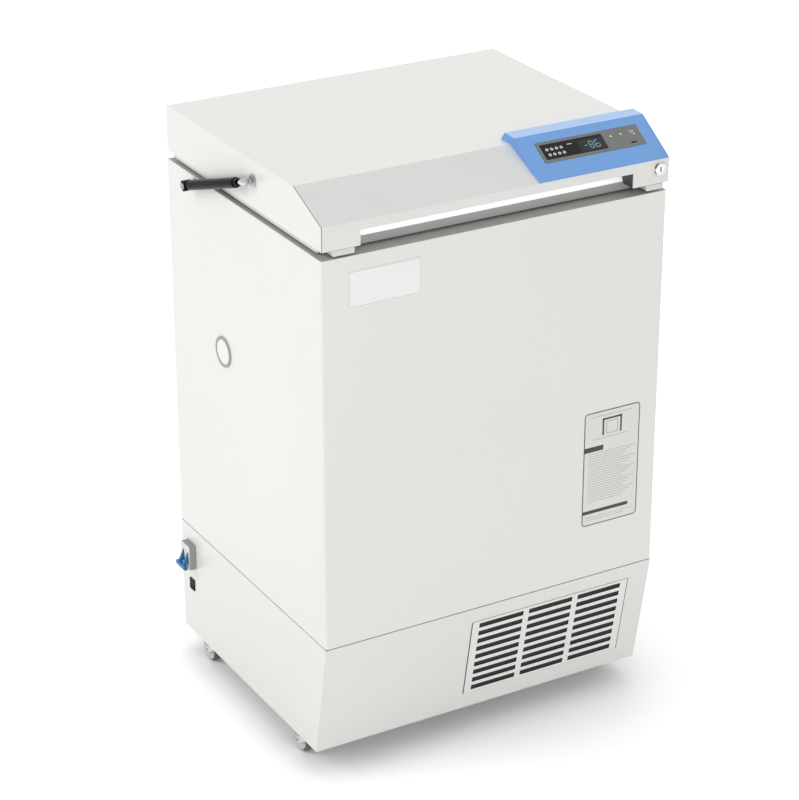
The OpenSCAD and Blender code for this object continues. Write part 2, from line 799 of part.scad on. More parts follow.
module fan_blades() {
    hub_d = 44;
    pitch_a = 32;
    color("black") translate([fan_c.x, fan_mid, fan_c.y]) rotate([90, 0, 0]) {
        union() {
            translate([0, 0, -fan_blade_d / 2]) cylinder(d = hub_d, h = fan_blade_d);
            intersection() {
                for (i = [0:fan_blades_n - 1]) rotate([0, 0, i * 360 / fan_blades_n])
                    rotate([pitch_a, 0, 0]) translate([hub_d / 2 - 6, -22, -1])
                        cube([fan_d / 2, 44, 2]);
                translate([0, 0, -fan_blade_d / 2]) cylinder(d = fan_d, h = fan_blade_d);
            }
            translate([0, 0, -(motor_y0 + motor_l - 6 - fan_mid)])
                cylinder(d = fan_shaft_d, h = motor_y0 + motor_l - 6 - fan_mid);
        }
    }
}

compressor_c = [side - compressor_side, back - compressor_back];

module compressor() {
    r = compressor_d / 2;
    foot_z = pan_z + pan_t;
    can_z = foot_z + compressor_foot_h;
    color("black") union() {
        translate([compressor_c.x, compressor_c.y, can_z]) rotate_extrude() polygon(concat(
            [[0, 0], [r * 0.55, 0]],
            arc([r * 0.8, r * 0.225], r * 0.2, 270, 360),
            [[r * 1.04, compressor_h * 0.55], [r * 1.04, compressor_h * 0.58], [r, compressor_h * 0.6]],
            arc([r * 0.55, compressor_h - r * 0.45], r * 0.45, 0, 90, 6),
            [[0, compressor_h]]));
        for (a = [45:90:315]) translate([compressor_c.x, compressor_c.y, 0]) rotate([0, 0, a]) {
            block([r * 0.4, -r * 0.2, can_z + r * 0.025], [r * 1.325, r * 0.2, can_z + r * 0.075]);
            translate([r * 1.15, 0, foot_z]) cylinder(d = r * 0.325, h = can_z + r * 0.04 - foot_z);
        }
        translate([compressor_c.x - r * 1.175, compressor_c.y - r * 0.375, can_z + compressor_h * 0.3])
            cube([r * 0.375, r * 0.75, r * 0.7]);
    }
}

// A round pipe through the points of a path, with a ring of corners at each point
function unit(v) = v / norm(v);
function bend(a, b, c, r, n = 5) =
    let (u = unit(a - b), w = unit(c - b), half = acos(u * w) / 2, turn = 180 - 2 * half,
         m = b + unit(u + w) * r / sin(half),
         p = b + u * r / tan(half) - m, q = b + w * r / tan(half) - m)
    [for (i = [0:n]) m + (sin(turn * (1 - i / n)) * p + sin(turn * i / n) * q) / sin(turn)];
function route(p, r) = concat([p[0]],
    [for (i = [1:len(p) - 2]) each bend(p[i - 1], p[i], p[i + 1], r)], [p[len(p) - 1]]);

module pipe(corners, d, r) {
    sides = 8;
    path = route(corners, r);
    last = len(path) - 1;
    lean = [0.31, 0.47, 0.83];
    rings = [for (i = [0:last])
        let (t = unit(path[min(i + 1, last)] - path[max(i - 1, 0)]),
             u = unit(cross(t, lean)), v = cross(t, u))
        each [for (k = [0:sides - 1]) path[i] + d / 2 * (cos(k * 360 / sides) * u + sin(k * 360 / sides) * v)]];
    walls = [for (i = [0:last - 1], k = [0:sides - 1])
        let (a = i * sides + k, b = i * sides + (k + 1) % sides)
        each [[a, b, b + sides], [a, b + sides, a + sides]]];
    caps = [[for (k = [0:sides - 1]) sides - 1 - k], [for (k = [0:sides - 1]) last * sides + k]];
    polyhedron(rings, concat(walls, caps));
}

pipe_clear = 40;
pipe_out = 20;
drier_out = 70;
drier_l = 100;

module refrigerant_lines() {
    top = pan_z + pan_t + compressor_foot_h + compressor_h;
    high = top + pipe_clear;
    cx = compressor_c.x;
    cy = compressor_c.y;
    right = condenser_x + condenser_w / 2 + 6.3;
    drier_z = machine_z + condenser_h / 6;
    drier_x = condenser_x - condenser_w / 2 - drier_out;
    color("peru") {
        pipe([[cx, cy, top + 0.3], [cx, cy, high], [right + pipe_out, cy - compressor_d * 0.375, high],
              [right + pipe_out, condenser_y + condenser_d / 2, high],
              [right + pipe_out, condenser_y + condenser_d / 2, machine_z + condenser_h * 5 / 6],
              [right, condenser_y + condenser_d / 2, machine_z + condenser_h * 5 / 6]], pipe_d, 12);
        pipe([[condenser_x - condenser_w / 2 - 6.3, condenser_y + condenser_d / 2, drier_z],
              [drier_x, condenser_y + condenser_d / 2, drier_z],
              [drier_x, condenser_y + drier_l, drier_z + pipe_out],
              [drier_x, condenser_y + drier_l, bulkhead_z - 0.3]], pipe_d, 12);
        pipe([[cx - compressor_d / 2 - 0.3, cy + pipe_out, top - compressor_h * 0.3],
              [cx - compressor_d / 2 - 1.5 * pipe_out, cy + pipe_out, top - compressor_h * 0.3],
              [cx - compressor_d / 2 - 1.5 * pipe_out, cy + pipe_out, bulkhead_z - 0.3]], pipe_d, 14);
    }
}

module electrical_box() {
    lo = [-side + sheet_t + frame_tube + ebox_side, back - ebox_back - ebox_d, pan_z + pan_t];
    hi = lo + [ebox_w, ebox_d, ebox_h];
    edge = ebox_w * 0.027;
    color("lightgray") union() {
        block(lo, hi);
        block([lo.x - edge, lo.y - edge, hi.z], hi + [edge, edge, edge * 1.5]);
        for (f = [0.14, 0.86]) bar_y(lo.y - ebox_d * 0.09, lo.y + 0.5, ebox_w * 0.11,
                                     lo.x + f * ebox_w, lo.z + ebox_h * 0.86);
    }
}

// Side controls

lever_pivot = [-side - breaker_proud + 6, floor_gap + breaker_z - 1];
toggle_w = 6;
toggle_pitch = breaker_w / 2;
bar_c = [-side - side_reach + 4, lever_pivot.y - 16];

// Places children at both poles of the breaker
module at_poles() {
    for (s = [-1, 1]) translate([0, breaker_c.x + s * toggle_pitch / 2, 0]) children();
}

module breaker_case() {
    color("whitesmoke") difference() {
        along_x(-side - breaker_proud, -side + 46)
            translate([breaker_c.x, breaker_c.y]) polygon(round_rect(breaker_w, breaker_h, 4));
        at_poles() bar_y(-toggle_w / 2 - 0.5, toggle_w / 2 + 0.5, 24, lever_pivot.x, lever_pivot.y);
    }
}

// Two toggles on a shared bar, hanging down when the supply is off
module breaker_lever() {
    color("royalblue") union() {
        at_poles() {
            bar_y(-toggle_w / 2, toggle_w / 2, 16, lever_pivot.x, lever_pivot.y);
            along_y(-toggle_w / 2, toggle_w / 2) translate(lever_pivot) polygon([
                [-3, 6], [-8, 4.5], [-16, -12], [-16, -14], [-10.5, -14], [-6.5, -6], [-3, -5]]);
        }
        along_y(breaker_c.x - breaker_w / 2 + 1, breaker_c.x + breaker_w / 2 - 1)
            translate(bar_c) polygon(round_rect(8, 9, 2, 3));
    }
}

module rocker_housing() {
    color("black") difference() {
        union() {
            along_x(-side - 2, -side) translate([rocker_c.x, rocker_c.y])
                polygon(round_rect(rocker_w, rocker_h, 2, 3));
            along_x(-side - touch, -side + 20) translate([rocker_c.x, rocker_c.y])
                square([rocker_w - 2 * case_lip - 0.6, rocker_h - 2 * case_lip - 0.6], center = true);
        }
        translate([-side + 6, rocker_c.x, rocker_c.y])
            cube([22, rocker_w - 2 * rocker_wall, rocker_h - 2 * rocker_wall], center = true);
        bar_y(rocker_c.x - rocker_w / 2, rocker_c.x + rocker_w / 2, 3 + 2 * running,
              -side + 1.5, rocker_c.y);
    }
}

module rocker() {
    w = rocker_w - 2 * rocker_wall - 2 * free_gap;
    h = rocker_h - 2 * rocker_wall - 2 * free_gap;
    color("dimgray") translate([-side + 1.5, rocker_c.x, rocker_c.y]) union() {
        intersection() {
            rotate([0, 7, 0]) along_y(-w / 2, w / 2) polygon([
                [6, -h / 2 + 2], [6, h / 2 - 2], [-1.5, h / 2 - 0.8], [-4.6, h / 2 - 1.2],
                [-3.2, 0], [-4.6, -h / 2 + 1.2], [-1.5, -h / 2 + 0.8]]);
            cube([30, w, h], center = true);
        }
        bar_y(-w / 2 - free_gap - 0.7, w / 2 + free_gap + 0.7, 3, 0, 0);
    }
}

module power_inlet() {
    color("black") difference() {
        union() {
            along_y(back, back + 3) translate([inlet_x, inlet_z]) polygon(round_rect(inlet_w, inlet_h, 4));
            along_y(back - 26, back + touch) translate([inlet_x, inlet_z])
                square([inlet_w - 6.4, inlet_h - 6.4], center = true);
        }
        along_y(back - 18, back + 4) translate([inlet_x, inlet_z]) polygon(round_rect(28, 18, 2));
    }
    color("silver") for (dx = [-8, 0, 8])
        block([inlet_x + dx - 1, back - 19, inlet_z - 4 + abs(dx) / 4],
              [inlet_x + dx + 1, back - 3, inlet_z + 2 + abs(dx) / 4]);
}

// Casters

wheel_r = wheel_d / 2;
cheek_gap = 0.8;
leg_t = 2;
crown_z = pan_z - 8;
plate_t = 2.5;
race_d = 32;
leg_x = wheel_w / 2 + cheek_gap;

function caster_at(name) = [
    (name == "front_left" || name == "rear_left" ? -1 : 1) * (side - caster_x),
    name == "front_left" || name == "front_right" ? front + caster_front_y : back - caster_rear_y];

module caster_plates() {
    color("silver") for (name = CASTERS) translate(concat(caster_at(name), [0])) union() {
        translate([0, 0, pan_z - plate_t]) linear_extrude(plate_t) difference() {
            polygon(round_rect(caster_plate_w, caster_plate_w, 5));
            for (sx = [-1, 1], sy = [-1, 1])
                translate([sx, sy] * (caster_plate_w / 2 - 6)) circle(d = 5);
        }
        translate([0, 0, crown_z + free_gap]) cylinder(d = race_d, h = pan_z - crown_z - free_gap - 1);
        translate([0, 0, crown_z - 4]) cylinder(d = 7, h = pan_z - crown_z);
        translate([0, 0, crown_z - 4]) cylinder(d = 11, h = 1.6);
    }
}

module caster_fork(name) {
    tail = [
        [race_d * 0.42, crown_z], [race_d * 0.42, crown_z - 6],
        [-caster_trail + 8, wheel_r - 5], [-caster_trail + 4, wheel_r - 7],
        [-caster_trail - 4, wheel_r - 7], [-caster_trail - 8, wheel_r],
        [-caster_trail - 4, wheel_r + 8], [-race_d * 0.42, crown_z - 4], [-race_d * 0.42, crown_z]];
    color("silver") translate(concat(caster_at(name), [0])) union() {
        difference() {
            translate([0, 0, crown_z - 2.1]) cylinder(d = race_d, h = 2.1);
            translate([0, 0, crown_z - 5]) cylinder(d = 7 + 2 * running, h = 9);
        }
        both_sides() along_x(leg_x, leg_x + leg_t) polygon(tail);
        bar_x(-leg_x - touch, leg_x + touch, axle_d, -caster_trail, wheel_r);
        both_sides() bar_x(leg_x + leg_t - touch, leg_x + leg_t + 3.6, axle_d, -caster_trail, wheel_r);
    }
}

module caster_wheel(name) {
    at = caster_at(name);
    color("lightgray") translate([at.x, at.y - caster_trail, wheel_r]) rotate([0, 90, 0])
        rotate_extrude() polygon(concat(
            [[axle_d / 2 + running, -wheel_w / 2 + 0.4], [8, -wheel_w / 2 + 0.4], [9, -wheel_w / 2 + 2],
             [wheel_r - 6, -wheel_w / 2 + 2], [wheel_r - 4, -wheel_w / 2]],
            arc([wheel_r - 2.5, -wheel_w / 2 + 2.5], 2.5, 270, 360, 3),
            arc([wheel_r - 2.5, wheel_w / 2 - 2.5], 2.5, 0, 90, 3),
            [[wheel_r - 4, wheel_w / 2], [wheel_r - 6, wheel_w / 2 - 2], [9, wheel_w / 2 - 2],
             [8, wheel_w / 2 - 0.4], [axle_d / 2 + running, wheel_w / 2 - 0.4]]));
}

// The pedal turns on the axle, with its tread in front of the wheel
module caster_pedal(name) {
    cheek_x = leg_x + leg_t + 0.5;
    cheek_t = 1.5;
    tread_r = wheel_r + 2;
    tread_l = 14;
    lift = 24;
    at = caster_at(name);
    color("gainsboro") translate([at.x, at.y - caster_trail, wheel_r]) rotate([-lift, 0, 0]) difference() {
        union() {
            both_sides() along_x(cheek_x, cheek_x + cheek_t) polygon(concat(
                arc([0, 0], 7, -80, 90, 5), [[-tread_r - 4, 5], [-tread_r - 4, -2]]));
            along_x(-cheek_x - cheek_t, cheek_x + cheek_t) polygon([
                [-tread_r, 4.4], [-tread_r - tread_l + 2, 5], [-tread_r - tread_l, 3.5],
                [-tread_r - tread_l, 1.5], [-tread_r - tread_l + 3, 2], [-tread_r, 2]]);
        }
        bar_x(-cheek_x - 5, cheek_x + 5, axle_d + 2 * running, 0, 0);
    }
}

// Gas struts. Each is drawn on the left side, from its cabinet end towards its lid end

strut_x = side + side_reach - strut_end_d / 2;
strut_foot = [front + strut_cab_y, top_z - strut_cab_down];
strut_head = [front + strut_lid_y, lid_z + strut_lid_up];
strut_l = norm(strut_head - strut_foot);
strut_a = atan2(strut_head.y - strut_foot.y, strut_foot.x - strut_head.x);
mount_t = 2.5;
stud_d = 8;
boss_d = 22;
stud_head_d = 12;
stud_head_t = 1.8;
tube_end = strut_l - strut_end_d / 2 - strut_rod_show;
tube_bore = strut_tube_d - 2.4;

module strut_place() {
    translate([strut_x, strut_foot.x, strut_foot.y]) rotate([90 - strut_a, 0, 0]) children();
}

module strut_cabinet_mounts() {
    color("silver") both_sides() union() {
        bar_x(side, side + mount_t, boss_d, strut_foot.x, strut_foot.y);
        bar_x(side, side + side_reach - 1, stud_d, strut_foot.x, strut_foot.y);
        bar_x(side + side_reach - stud_head_t, side + side_reach, stud_head_d, strut_foot.x, strut_foot.y);
    }
}

module strut_lid_mounts() {
    color("silver") both_sides() difference() {
        bar_x(side, side + mount_t, boss_d, strut_head.x, strut_head.y);
        bar_x(side - 1, side + mount_t + 1, stud_d - 3, strut_head.x, strut_head.y);
    }
}

module strut_tube() {
    nose = 12;
    eye_l = strut_end_d - 4.6;
    color("black") strut_place() difference() {
        union() {
            rotate_extrude() polygon(concat(
                [[0, strut_end_d * 0.3], [5, strut_end_d * 0.3], [5, 13]],
                arc([strut_tube_d / 2 - 3, 18], 3, 270, 360, 3),
                arc([strut_tube_d / 2 - 3, tube_end - nose], 3, 0, 60, 3),
                [[strut_tube_d / 2 - 2.2, tube_end - nose + 4], [strut_tube_d / 2 - 2.2, tube_end - 1],
                 [strut_tube_d / 2 - 3.2, tube_end], [0, tube_end]]));
            rotate([0, 90, 0]) translate([0, 0, -eye_l / 2]) cylinder(d = strut_end_d, h = eye_l);
        }
        translate([0, 0, 22]) cylinder(d = tube_bore, h = tube_end - nose - 22);
        translate([0, 0, 22]) cylinder(d = strut_rod_d + 2 * running, h = tube_end);
        rotate([0, 90, 0]) translate([0, 0, -eye_l]) cylinder(d = stud_d + 2 * running, h = 2 * eye_l);
    }
}

module strut_rod() {
    piston_at = 26;
    color("silver") strut_place() union() {
        translate([0, 0, piston_at]) cylinder(d = tube_bore - 2 * running, h = 10);
        translate([0, 0, piston_at]) cylinder(d = strut_rod_d, h = strut_l - piston_at);
        translate([0, 0, strut_l - 12]) cylinder(d = 11, h = 8);
        translate([0, 0, strut_l]) sphere(d = 15);
        translate([mount_t + seat_gap + side - strut_x, 0, strut_l]) rotate([0, 90, 0])
            cylinder(d = stud_d, h = strut_x - side - mount_t - seat_gap);
    }
}

// Lid

// A corner of the lid's front, moved inwards by t: the lip's top edge or the ridge
function lip_corner(t) = [lip_y + t, lip_z - t * cos(slope_a) / (1 + sin(slope_a))];
function ridge_corner(t) = [ridge_y + t * sin(slope_a) / (1 + cos(slope_a)), lid_top - t];

module lid_shell() {
    profile = concat([[lip_y, lid_z], lip_corner(0), ridge_corner(0)],
        arc([lid_back - bend_r, lid_top - bend_r], bend_r, 90, 0), [[lid_back, lid_z]]);
    room = concat([[lip_y - 1, lid_z - 1], [lip_y - 1, lip_z]],
        [lip_corner(0), ridge_corner(0) + [0, 1], ridge_corner(0), ridge_corner(sheet_t)],
        arc([lid_back - bend_r, lid_top - bend_r], bend_r - sheet_t, 90, 0), [[lid_back - sheet_t, lid_z - 1]]);
    color("whitesmoke") union() {
        difference() {
            along_x(-side, side) polygon(profile);
            along_x(sheet_t - side, side - sheet_t) polygon(room);
        }
        both_sides() block([side - lid_flange_w, front + 30, lid_z],
                           [side - touch, lid_back - sheet_t, lid_z + sheet_t]);
        block([-side + touch, lid_back - lid_flange_w, lid_z], [side - touch, lid_back - touch, lid_z + sheet_t]);
    }
}

module lid_fascia() {
    reach = side - sheet_t;
    color("white") difference() {
        along_x(-reach, reach) polygon([
            [lip_y, lid_z], lip_corner(0), ridge_corner(0),
            ridge_corner(fascia_t), lip_corner(fascia_t), [lip_y + fascia_t, lid_z]]);
        along_y(lip_y - 1, lip_y + fascia_t + 1) translate([0, lid_z - 1])
            translate([-grip_w / 2, 0]) square([grip_w, grip_h + 1]);
        bar_y(lip_y - 1, lip_y + fascia_t + 1, lock_d - 3, lock_x, lid_z + lock_up);
    }
}

frame_z0 = lid_z - frame_drop;
grip_back = front + frame_front;

// The frame round the lid's foot, with the grip channel on its front member
module lid_frame() {
    x1 = side - frame_inset;
    y1 = lid_back - frame_inset;
    roof = lid_z + grip_h + grip_t;
    deep = grip_back + grip_slant;
    color("white") difference() {
        union() {
            difference() {
                block([-x1, grip_back, frame_z0], [x1, y1, lid_z]);
                block([frame_w - x1, grip_back + frame_w, frame_z0 - 1],
                      [x1 - frame_w, y1 - frame_w, lid_z + 1]);
            }
            along_x(-grip_w / 2 - grip_t, grip_w / 2 + grip_t) polygon([
                [grip_back, lid_z - touch], [grip_back, lid_z + grip_back_h], [deep, roof - grip_t],
                [lip_y + fascia_t, roof - grip_t], [lip_y + fascia_t, roof],
                [deep + grip_t, roof], [deep + grip_t, lid_z - touch]]);
            for (sx = [-1, 1]) along_x(sx * (grip_w + grip_t) / 2 - grip_t / 2, sx * (grip_w + grip_t) / 2 + grip_t / 2)
                polygon([[lip_y + fascia_t, lid_z], [lip_y + fascia_t, roof], [deep, roof], [deep, lid_z]]);
            corner_block(-side + block_left_inset, -side + block_left_inset + block_w);
            corner_block(side - block_right_inset - block_w + 6, side - block_right_inset);
        }
        block([slot_x0 - 10, slot_y0, frame_z0 - 1], [slot_x1, slot_y1, lid_z + 1]);
    }
}

module corner_block(x0, x1) {
    along_y(front + 1, grip_back + 1) polygon(concat(
        [[x0, lid_z], [x0, frame_z0 + block_r]],
        arc([x0 + block_r, frame_z0 + block_r], block_r, 180, 270),
        arc([x1 - block_r / 2, frame_z0 + block_r / 2], block_r / 2, 270, 360), [[x1, lid_z]]));
}

seal_z = top_z + seat_gap;
pan_plate_z = lid_z - 4;
pan_x = side - frame_inset - frame_w;
pan_y0 = grip_back + frame_w;
pan_y1 = lid_back - frame_inset - frame_w;

module plug_outline(inset) {
    translate([0, mouth_y]) polygon(round_rect(
        chamber_w - 2 * plug_gap - 2 * inset, chamber_d - 2 * plug_gap - 2 * inset, liner_r - inset));
}

module lid_inner_pan() {
    color("white") difference() {
        union() {
            block([-pan_x, pan_y0, pan_plate_z], [pan_x, pan_y1, lid_z]);
            translate([0, 0, plug_z]) linear_extrude(lid_z - plug_z) plug_outline(0);
        }
        translate([0, 0, plug_z + pan_wall]) linear_extrude(lid_h) plug_outline(pan_wall);
    }
}

module lid_foam() {
    t = fascia_t + 0.1;
    front_face = grip_back + grip_slant + grip_t + 1;
    slope_at = lip_corner(t).y + (front_face - lip_corner(t).x) * tan(slope_a);
    color("khaki") union() {
        along_x(sheet_t - side, side - sheet_t) polygon([
            [front_face, lid_z + sheet_t], [front_face, slope_at], ridge_corner(t),
            [lid_back - bend_r, lid_top - t], [lid_back - sheet_t, lid_top - bend_r],
            [lid_back - sheet_t, lid_z + sheet_t]]);
        translate([0, 0, lid_z]) linear_extrude(sheet_t + touch) plug_outline(pan_wall);
        translate([0, 0, plug_z + pan_wall]) linear_extrude(lid_z - plug_z - pan_wall) plug_outline(pan_wall);
    }
}

module lid_gasket() {
    x1 = pan_x - gasket_inset;
    y0 = pan_y0 + gasket_inset;
    y1 = pan_y1 - gasket_inset;
    mid = (y0 + y1) / 2;
    lip = 3;
    color("dimgray") difference() {
        translate([0, mid, seal_z]) linear_extrude(pan_plate_z - seal_z)
            polygon(round_rect(2 * x1, y1 - y0, 8));
        translate([0, mid, seal_z - 1]) linear_extrude(pan_plate_z - seal_z + 2)
            polygon(round_rect(2 * (x1 - gasket_w), y1 - y0 - 2 * gasket_w, 4));
        translate([0, mid, seal_z + 3]) linear_extrude(pan_plate_z - seal_z - 5) difference() {
            polygon(round_rect(2 * x1 + 2, y1 - y0 + 2, 8));
            polygon(round_rect(2 * (x1 - lip), y1 - y0 - 2 * lip, 6));
        }
    }
}

// Console

console_x0 = side - console_w;
face_foot = [lip_y, lip_z + console_edge_h];
face_head = [lip_y + console_face_d, lid_top + console_rise - console_top_drop];
face_a = atan2(face_head.y - face_foot.y, face_head.x - face_foot.x);
strip_back = face_head.x + console_top_w;

// Places children on the sloping face, X across, Y up the slope, Z outwards
module on_console() {
    translate([0, face_foot.x, face_foot.y]) rotate([face_a, 0, 0]) children();
}
panel_c = [side - panel_right - panel_w / 2, panel_low + panel_h / 2];

module console_housing() {
    low = console_wall * 1.4;
    color("cornflowerblue") difference() {
        along_x(console_x0, side) polygon([
            [lip_y, lip_z], face_foot, face_head, [strip_back, lid_top + console_rise],
            [strip_back + console_back_run, lid_top], ridge_corner(0)]);
        along_x(console_x0 + console_side_run + console_wall, side - console_wall) polygon([
            lip_corner(0) + [8, 8 * tan(slope_a) - touch], face_foot + [14, 14 * tan(face_a) - low],
            face_head + [2, -low], [strip_back - 1, lid_top + console_rise - low],
            [strip_back + console_back_run - 6, lid_top - touch], ridge_corner(0) - [0, touch]]);
        translate([console_x0, 0, lip_z]) rotate([0, -atan2(console_rise + 4, console_side_run) , 0])
            translate([-30, front - 50, -10]) cube([30, 250, 120]);
        on_console() translate([panel_c.x, panel_c.y, -panel_t]) linear_extrude(20)
            polygon(round_rect(panel_w + 0.4, panel_h + 0.4, panel_corner + 0.2));
    }
}

module control_panel() {
    color("gray") on_console() translate([panel_c.x, panel_c.y, -panel_t]) difference() {
        linear_extrude(panel_t + 0.3) polygon(round_rect(panel_w, panel_h, panel_corner));
        display_place(0.2);
    }
}

module display_place(grow) {
    translate([(display_w - panel_w) / 2 + display_edge, (display_h - panel_h) / 2 + display_edge, 0.5])
        linear_extrude(grow > 0 ? 10 : panel_t + 0.1 - 0.5)
            polygon(round_rect(display_w + grow, display_h + grow, 1.5, 3));
}

module display_window() {
    color("black") on_console() translate([panel_c.x, panel_c.y, -panel_t]) display_place(0);
}

// Lock

lock_z = lid_z + lock_up;

module lock_body() {
    color("silver") difference() {
        union() {
            bar_y(lip_y - lock_proud, lip_y, lock_d, lock_x, lock_z);
            bar_y(lip_y - touch, front + lock_body_l, lock_d - 3, lock_x, lock_z);
            along_y(lip_y + fascia_t, lip_y + fascia_t + 4) translate([lock_x, lock_z])
                circle(d = lock_d + 3, $fn = 6);
        }
        bar_y(lip_y - lock_proud - 1, front + lock_body_l + 1, core_d + 2 * running, lock_x, lock_z);
    }
}

module lock_core() {
    color("silver") translate([lock_x, 0, lock_z]) difference() {
        union() {
            bar_y(lip_y - lock_proud + 0.4, cam_y0, core_d, 0, 0);
            along_y(cam_y0 - touch, cam_y0 + cam_t) polygon(concat(
                arc([0, 0], cam_w / 2, -90, 90), arc([cam_w / 4 - cam_l, 0], cam_w / 4, 90, 180, 2),
                [[-cam_l, -cam_w / 2 + 1], [-cam_l + 1, -cam_w / 2]]));
            bar_y(cam_y0 + cam_t - touch, cam_y0 + cam_t + 2, 8, 0, 0);
        }
        block([-1, lip_y - lock_proud - 1, -4], [1, lip_y - lock_proud + 5, 4]);
    }
}

cabinet_wrapper();
cabinet_back_panel();
cabinet_bulkhead();
cabinet_foam();
chamber_liner();
evaporator_coil();
mouth_collar();
port_sleeve();
port_plug();
hinge_cabinet_leaves();
strut_cabinet_mounts();
wall_spacers();
base_front_panel();
base_side_panels();
base_rear_panel();
base_frame();
base_pan();
front_grille();
condenser_filter();
condenser();
fan_shroud();
fan_blades();
compressor();
refrigerant_lines();
electrical_box();
breaker_case();
breaker_lever();
rocker_housing();
rocker();
power_inlet();
caster_plates();
for (name = CASTERS) {
    caster_fork(name);
    caster_wheel(name);
    caster_pedal(name);
}
mirror([1, 0, 0]) strut_tube();  // strut_tube_left
strut_tube();  // strut_tube_right
mirror([1, 0, 0]) strut_rod();  // strut_rod_left
strut_rod();  // strut_rod_right
lid_shell();
lid_fascia();
lid_frame();
lid_inner_pan();
lid_foam();
lid_gasket();
lid_hinge_leaves();
strut_lid_mounts();
console_housing();
control_panel();
display_window();
lock_body();
lock_core();
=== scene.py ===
"""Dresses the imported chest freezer: finishes for every node, softened edges and the small fitted pieces."""

import json
import logging
import math
from dataclasses import dataclass, field
from enum import Enum
from typing import Callable, Iterable, Sequence

import bpy
from mathutils import Matrix, Vector

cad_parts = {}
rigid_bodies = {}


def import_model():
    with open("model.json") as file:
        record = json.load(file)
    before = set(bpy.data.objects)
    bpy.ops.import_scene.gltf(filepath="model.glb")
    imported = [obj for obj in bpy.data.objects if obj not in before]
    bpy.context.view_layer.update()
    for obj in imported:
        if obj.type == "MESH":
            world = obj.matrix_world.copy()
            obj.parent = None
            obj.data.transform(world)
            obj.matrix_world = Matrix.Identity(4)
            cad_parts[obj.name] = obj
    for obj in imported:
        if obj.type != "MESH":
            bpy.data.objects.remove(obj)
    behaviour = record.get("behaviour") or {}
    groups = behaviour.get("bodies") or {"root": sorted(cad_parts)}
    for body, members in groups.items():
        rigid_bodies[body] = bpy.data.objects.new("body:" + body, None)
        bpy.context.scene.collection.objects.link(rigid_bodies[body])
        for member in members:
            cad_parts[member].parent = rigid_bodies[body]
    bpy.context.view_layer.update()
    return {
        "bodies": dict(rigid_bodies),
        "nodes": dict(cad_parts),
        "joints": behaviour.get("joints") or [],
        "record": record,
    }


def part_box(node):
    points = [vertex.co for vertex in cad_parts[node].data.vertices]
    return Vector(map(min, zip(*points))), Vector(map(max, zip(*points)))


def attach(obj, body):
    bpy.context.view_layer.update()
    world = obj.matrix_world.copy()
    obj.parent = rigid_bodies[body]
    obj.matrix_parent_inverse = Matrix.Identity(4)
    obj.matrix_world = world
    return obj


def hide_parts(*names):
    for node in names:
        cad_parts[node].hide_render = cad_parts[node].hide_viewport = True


log = logging.getLogger("freezer")
MM = 0.001
WHITE = (1, 1, 1, 1)
EVEN = (1.0, 1.0, 1.0)
Pair = tuple[float, float]
Triple = tuple[float, float, float]
Piece = bpy.types.Object
Node = bpy.types.Node
Socket = bpy.types.NodeSocket


class Corner(Enum):
    """The four casters, by where they stand."""

    FRONT_LEFT = "front_left"
    FRONT_RIGHT = "front_right"
    REAR_LEFT = "rear_left"
    REAR_RIGHT = "rear_right"


def srgb(text: str) -> Triple:
    """Turns a hex colour as seen on a screen into linear light.

    Args:
        text: Six hex digits.

    Returns:
        The linear red, green and blue.
    """
    values = [int(text[i : i + 2], 16) / 255 for i in (0, 2, 4)]
    return tuple(v / 12.92 if v < 0.04045 else ((v + 0.055) / 1.055) ** 2.4 for v in values)


# Node trees


